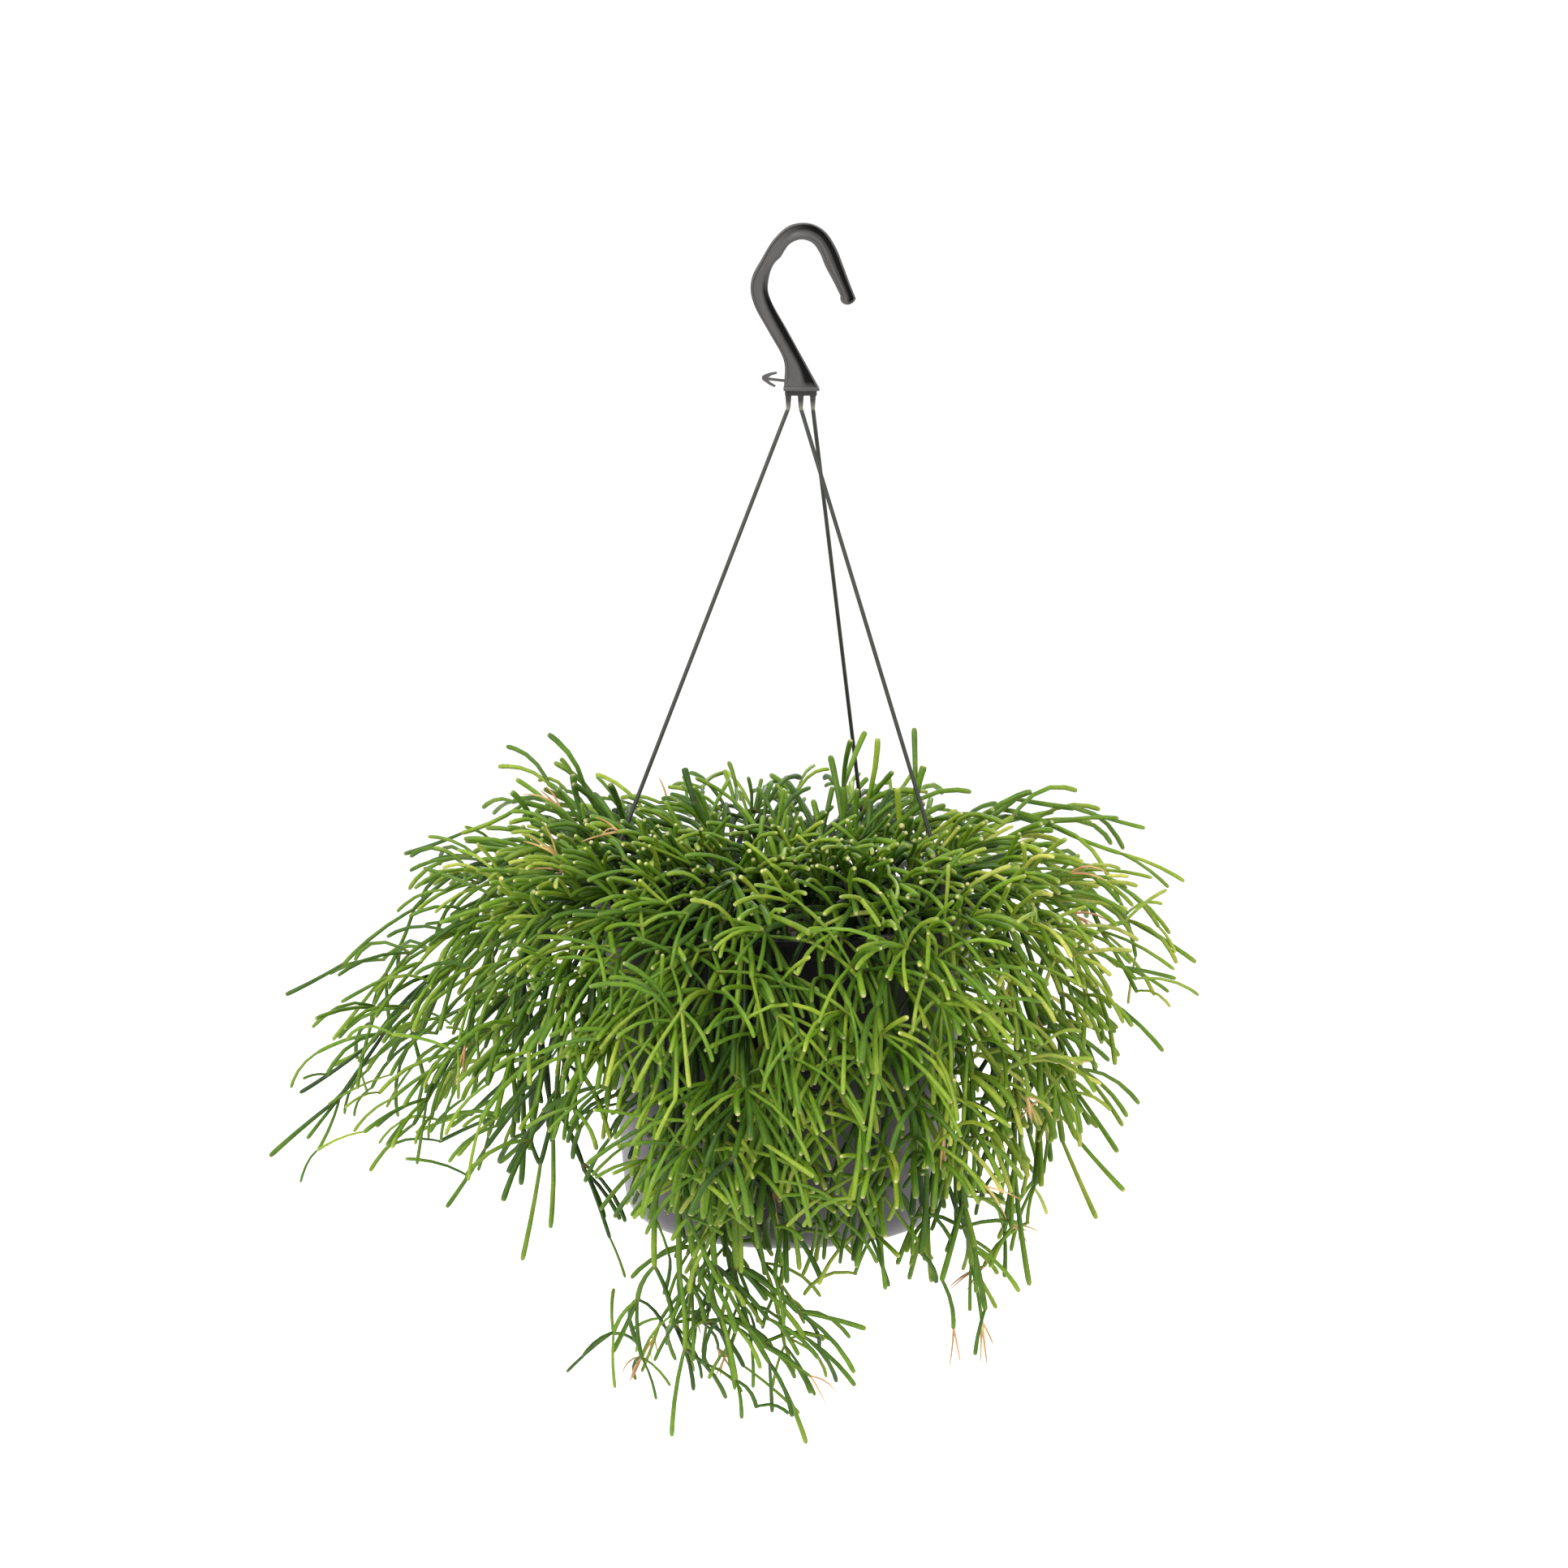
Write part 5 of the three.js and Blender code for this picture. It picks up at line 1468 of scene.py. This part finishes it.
CURVE_STEPS = 16
SHORTEST_PART = 1e-4
HOOK_DRAWN_STATIONS = 84
TIP_STATIONS = 6
TIP_TURN = 86
TIP_RECESS_END = 0.8
TIP_RECESS_FADE = 0.5
FOOT_RECESS_FADE = 2
FULL_DEPTH = (HOOK_DEPTH - HOOK_WEB) / 2
RIM_NARROWING = 0.4
RECESS_STEP = 0.3
RECESS_STEP_SHARE = 0.06
EDGE_ROUND = 0.55
EDGE_ROUND_SHARE = 0.25
EDGE_CORNER = 0.3
EDGE_SHARE = 0.3
EDGE_FLAT = 0.2
EDGE_CHAMFER = 0.1
LIP = 0.15
SLOPE_START = 0.3
SLOPE_END = 0.7
SLOPE_WIDTH = 0.4
MEAN_RECESS = 0.72
RECESS_SLOPE = 0.45
SHADE_FROM = 0.74
SHADE_WIDTH = 0.34
LEAN_GAIN = 1.4
UPRIGHT_RECESS = 0.4
PLATE_BEVEL = 0.4
LEG_WEB_BEVEL = 0.3
PIN_BEVEL = 0.15
BEVEL_ANGLE = 35
LEG_STATIONS = 8
LEG_TAPER = 0.8
BAR_FACETS = 16
HANGER_SHARP_ANGLE = 40


def edge_curve(points, stations):
    """Evenly spaced stations on a smooth curve through the points."""
    points = [Vector(p) for p in points]
    dense = []
    for i in range(len(points) - 1):
        p1, p2 = points[i], points[i + 1]
        p0 = points[i - 1] if i > 0 else 2 * p1 - p2
        p3 = points[i + 2] if i + 2 < len(points) else 2 * p2 - p1
        parts = [(b - a).length for a, b in ((p0, p1), (p1, p2), (p2, p3))]
        dt0, dt1, dt2 = (max(part, SHORTEST_PART) ** 0.5 for part in parts)
        t1 = ((p1 - p0) / dt0 - (p2 - p0) / (dt0 + dt1) + (p2 - p1) / dt1) * dt1
        t2 = ((p2 - p1) / dt1 - (p3 - p1) / (dt1 + dt2) + (p3 - p2) / dt2) * dt1
        for k in range(CURVE_STEPS):
            t = k / CURVE_STEPS
            square_part = (3 * (p2 - p1) - 2 * t1 - t2) * t ** 2
            dense.append(p1 + t1 * t + square_part + (2 * (p1 - p2) + t1 + t2) * t ** 3)
    dense.append(points[-1])
    lengths = [0.0]
    for a, b in zip(dense, dense[1:]):
        lengths.append(lengths[-1] + (b - a).length)
    found = []
    for i in range(stations + 1):
        want = lengths[-1] * i / stations
        k = max(0, min(np.searchsorted(lengths, want, side="right") - 1, len(dense) - 2))
        t = (want - lengths[k]) / (lengths[k + 1] - lengths[k])
        found.append(dense[k].lerp(dense[k + 1], t))
    return found


def skin(body, rings):
    """A closed skin over rings of points, with flat ends."""
    for low, high in zip(rings, rings[1:]):
        for k in range(len(low)):
            n = (k + 1) % len(low)
            body.faces.new((low[k], low[n], high[n], high[k]))
    body.faces.new(list(reversed(rings[0])))
    body.faces.new(rings[-1])


def slab(body, outline, half_depth):
    """A flat plate of an outline in X and Z. The result is the set of its points."""
    near = [body.verts.new(Vector((x, -half_depth, z)) * MM) for x, z in outline]
    far = [body.verts.new(Vector((x, half_depth, z)) * MM) for x, z in outline]
    body.faces.new(near)
    body.faces.new(list(reversed(far)))
    for k in range(len(outline)):
        n = (k + 1) % len(outline)
        body.faces.new((near[n], near[k], far[k], far[n]))
    return {*near, *far}


def bevelled(body, verts, width):
    edges = [e for e in body.edges if e.verts[0] in verts and len(e.link_faces) == 2
             and e.calc_face_angle(0) > radians(BEVEL_ANGLE)]
    bmesh.ops.bevel(body, geom=edges, offset=width * MM, segments=2, profile=0.5, affect="EDGES")


def hook_section(width, depth, lean):
    """Half of the hook's section, as (share of the width from the outer edge, distance from the middle
    plane, shade). The recess is deepest towards the outer or the inner edge, as lean is -1 or 1."""
    face = HOOK_DEPTH / 2
    step = min(RECESS_STEP, RECESS_STEP_SHARE * width)
    round_off = min(EDGE_ROUND, EDGE_ROUND_SHARE * width)
    corner_cut = EDGE_CORNER * round_off
    lip = min(LIP, depth)
    rims = []
    for narrow in (max(0, -lean), max(0, lean)):
        edge = min(HOOK_EDGE * (1 - RIM_NARROWING * narrow), EDGE_SHARE * width)
        rims.append([(0, face - round_off, 0), (corner_cut, face - corner_cut, 0),
                     (min(round_off, edge - EDGE_FLAT), face, 0), (edge - EDGE_CHAMFER, face, 0),
                     (edge, face - lip, 0)])
    start, end = rims[0][-1][0] + step, width - rims[1][-1][0] - step
    half = list(rims[0])
    for t in (0, SLOPE_START, 0.5, SLOPE_END, 1):
        rise = clamp((t - SLOPE_START) / SLOPE_WIDTH)
        if lean <= 0:
            rise = 1 - clamp((SLOPE_END - t) / SLOPE_WIDTH)
        deep = MEAN_RECESS + RECESS_SLOPE * lean * (2 * rise - 1)
        shade = depth / FULL_DEPTH * clamp((deep - SHADE_FROM) / SHADE_WIDTH)
        half.append((start + (end - start) * t, face - depth * deep, shade))
    half += [(width - across_by, out, shade) for across_by, out, shade in reversed(rims[1])]
    return [(across_by / width, out, shade) for across_by, out, shade in half]


def hook_stations():
    """The hook's outer edge, inner edge and recess depth, from its tip to its foot."""
    outer = edge_curve(HOOK_OUTSIDE, HOOK_DRAWN_STATIONS)
    inner = edge_curve(HOOK_INSIDE, HOOK_DRAWN_STATIONS)
    centre, half = (outer[0] + inner[0]) / 2, (outer[0] - inner[0]) / 2
    drop = Vector(HOOK_TIP[1]) - centre
    stations = []
    for k in range(TIP_STATIONS, 0, -1):
        turn = radians(TIP_TURN * k / TIP_STATIONS)
        low = centre + drop * math.sin(turn)
        depth = FULL_DEPTH * clamp((TIP_RECESS_END - math.sin(turn)) / TIP_RECESS_FADE)
        stations.append((low + half * math.cos(turn), low - half * math.cos(turn), depth))
    for i, (a, b) in enumerate(zip(outer, inner)):
        stations.append((a, b, FULL_DEPTH * clamp((HOOK_DRAWN_STATIONS - i) / FOOT_RECESS_FADE)))
    return stations


def hook_build(body):
    painted_recess_shade = body.verts.layers.float.new("painted_recess_shade")
    rings = []
    for a, b, depth in hook_stations():
        lean = max(-1, min(1, LEAN_GAIN * (b - a).normalized().x))
        section = hook_section(
            (b - a).length, depth * (UPRIGHT_RECESS + (1 - UPRIGHT_RECESS) * abs(lean)), lean)
        loop = [(s, -out, shade) for s, out, shade in section]
        loop += [(s, out, shade) for s, out, shade in reversed(section)]
        ring = []
        for s, out, shade in loop:
            x, z = a + (b - a) * s
            vert = body.verts.new(Vector((x, out, min(z, box_high[2]))) * MM)
            # Each point keeps the painted shade of its place in the recess
            vert[painted_recess_shade] = shade
            ring.append(vert)
        rings.append(ring)
    skin(body, rings)


def box_build(body, low, high, width):
    centre = Vector([(a + b) / 2 for a, b in zip(low, high)]) * MM
    size = [(b - a) * MM for a, b in zip(low, high)]
    place = Matrix.Translation(centre) @ Matrix.Diagonal((*size, 1))
    made = bmesh.ops.create_cube(body, size=1, matrix=place)
    bevelled(body, set(made["verts"]), width)


def bar_build(body, stations, segments=BAR_FACETS):
    """A round bar through (point, radius) stations, closed at both ends."""
    rings = []
    for i, (point, radius) in enumerate(stations):
        before, after = stations[max(i - 1, 0)][0], stations[min(i + 1, len(stations) - 1)][0]
        along = (Vector(after) - Vector(before)).normalized()
        side = along.cross(Vector((0, 1, 0))).normalized()
        other = along.cross(side)
        ring = []
        for k in range(segments):
            turn = 2 * math.pi * k / segments
            spoke = side * math.cos(turn) + other * math.sin(turn)
            ring.append(body.verts.new((Vector(point) + radius * spoke) * MM))
        rings.append(ring)
    skin(body, rings)


def foot_build(body):
    half = HOOK_DEPTH / 2 + PLATE_OVERHANG
    box_build(body, (PLATE_X[0], -half, PLATE_BOTTOM_Z), (PLATE_X[1], half, PLATE_TOP_Z), PLATE_BEVEL)
    web_low = (LEG_WEB_X[0], -LEG_WEB_HALF_DEPTH, LEG_WEB_BOTTOM_Z)
    web_high = (LEG_WEB_X[1], LEG_WEB_HALF_DEPTH, PLATE_BOTTOM_Z + LEG_WEB_SUNK)
    box_build(body, web_low, web_high, LEG_WEB_BEVEL)
    bevelled(body, slab(body, TAG_PIN, PIN_HALF_DEPTH), PIN_BEVEL)
    for _, leg_x, _ in RODS:
        stations = []
        for i in range(LEG_STATIONS + 1):
            share = i / LEG_STATIONS
            radius = LEG_TOP_RADIUS + (LEG_END_RADIUS - LEG_TOP_RADIUS) * share ** LEG_TAPER
            stations.append((Vector((leg_x, 0, PLATE_BOTTOM_Z + LEG_SUNK - LEG_LENGTH * share)), radius))
        bar_build(body, stations)


def joined(meshes, name, smooth_angle):
    body = bmesh.new()
    for mesh in meshes:
        body.from_mesh(mesh)
    made = bpy.data.meshes.new(name)
    body.to_mesh(made)
    body.free()
    made.shade_smooth()
    made.set_sharp_from_angle(angle=radians(smooth_angle))
    return made


hook_meshes = [mesh_from(hook_build, "hook_a"), mesh_from(foot_build, "hook_b")]
shown(joined(hook_meshes, "hook_body", HANGER_SHARP_ANGLE), HANGER, ["hook"])

# Rods and their clips. A rod starts a little inside the end of its leg.

ROD_SUNK = 0.4
ROD_SUNK_SHARE = 0.9
ROD_COLLAR = 0.3
ROD_COLLAR_SHARE = 0.95
ROD_STATIONS = (0.01, 0.25, 0.5, 0.75, 0.93, 1.0)
ROD_FOOT = 1.5
ROD_FOOT_SHARE = 0.8
ROD_SEGMENTS = 14
CLIP_TOP_HALF = 1
CLIP_SHOULDER = 0.75
CLIP_SHOULDER_RISE = 2.4
BARB_END_HALF = 1.8
CLIP_BEVEL = 0.22


def clip_outline():
    half, barb = CLIP_WIDTH / 2, CLIP_BARB_WIDTH / 2
    barb_top = -RIM_THICKNESS - CLEARANCE
    right = [
        (CLIP_TOP_HALF, CLIP_NECK_TOP), (half * CLIP_SHOULDER, CLIP_NECK_BOTTOM + CLIP_SHOULDER_RISE),
        (half, CLIP_NECK_BOTTOM), (half, barb_top), (barb, barb_top),
        (BARB_END_HALF, barb_top - CLIP_BARB_LENGTH)]
    return right + [(-x, z) for x, z in reversed(right)]


def rod_build(leg_x, angle):
    def build(body):
        start, end = (Vector(p) for p in rod_line(leg_x, angle))
        along = (end - start).normalized()
        length = (end - start).length
        stations = [
            (start + Vector((0, 0, ROD_SUNK)), LEG_END_RADIUS * ROD_SUNK_SHARE),
            (start + along * ROD_COLLAR, LEG_END_RADIUS * ROD_COLLAR_SHARE)]
        stations += [(start + along * length * t, ROD_DRAWN_RADIUS) for t in ROD_STATIONS]
        stations += [(end + Vector((0, 0, -ROD_FOOT)), ROD_DRAWN_RADIUS * ROD_FOOT_SHARE)]
        bar_build(body, stations, ROD_SEGMENTS)
        clip = slab(body, clip_outline(), CLIP_THICKNESS / 2)
        away = Vector((math.cos(radians(angle)), math.sin(radians(angle)), 0))
        turn = Matrix.Rotation(radians(angle) - math.pi / 2, 4, "Z")
        for vert in clip:
            vert.co = turn @ vert.co + (away * CLIP_CIRCLE_RADIUS + Vector((POT_AXIS_X, 0, RIM_TOP_Z))) * MM
        bevelled(body, clip, CLIP_BEVEL)
    return build


for name, leg_x, angle in RODS:
    rod_mesh = mesh_from(rod_build(leg_x, angle), f"hanger_{name}", HANGER_SHARP_ANGLE)
    shown(rod_mesh, HANGER, [f"rod_{name}"])

# Stage, light and camera, in metres

FLOOR_Z = -0.75
FLOOR_RADIUS = 14
FLOOR_FACETS = 96
PLANT = (-0.006, 0, -0.29)
LIGHTS = [
    ("key", (-0.9, -1.5, 1.1), 0.9, 46), ("fill", (1.5, -1.3, 0.3), 1.2, 12),
    ("back", (0.4, 1.7, 1.0), 1.0, 16)]
WORLD_STRENGTH = 0.98
EXPOSURE = 0.15
LENS = 95.4
SENSOR_WIDTH = 36
CAMERA_TARGET = Vector((-0.00625, 0, -0.208))
CAMERA_ELEVATION = 9
CAMERA_DISTANCE = 1.6
CAMERA_CLIP = (0.05, 60)


def floor_build(body):
    place = Matrix.Translation((0, 0, FLOOR_Z))
    bmesh.ops.create_circle(body, cap_ends=True, segments=FLOOR_FACETS, radius=FLOOR_RADIUS, matrix=place)


def aimed(thing, place, target):
    thing.location = place
    thing.rotation_mode = "QUATERNION"
    thing.rotation_quaternion = (Vector(target) - Vector(place)).to_track_quat("-Z", "Y")


floor = in_scene("floor", mesh_from(floor_build, "floor"))
floor.data.materials.append(floor_material())

for name, place, size, power in LIGHTS:
    light = bpy.data.lights.new(name, "AREA")
    light.shape, light.size, light.energy = "DISK", size, power
    aimed(in_scene(name, light), place, PLANT)

world = bpy.data.worlds.new("studio")
world.use_nodes = True
world.node_tree.nodes["Background"].inputs["Color"].default_value = (1, 1, 1, 1)
world.node_tree.nodes["Background"].inputs["Strength"].default_value = WORLD_STRENGTH
bpy.context.scene.world = world

camera_data = bpy.data.cameras.new("camera")
camera_data.lens, camera_data.sensor_width = LENS, SENSOR_WIDTH
camera_data.clip_start, camera_data.clip_end = CAMERA_CLIP
camera = in_scene("camera", camera_data)
elevation = radians(CAMERA_ELEVATION)
towards_camera = Vector((0, -math.cos(elevation), math.sin(elevation)))
aimed(camera, CAMERA_TARGET + towards_camera * CAMERA_DISTANCE, CAMERA_TARGET)
bpy.context.scene.camera = camera
bpy.context.scene.view_settings.view_transform = "Standard"
bpy.context.scene.view_settings.exposure = EXPOSURE

bpy.context.view_layer.update()
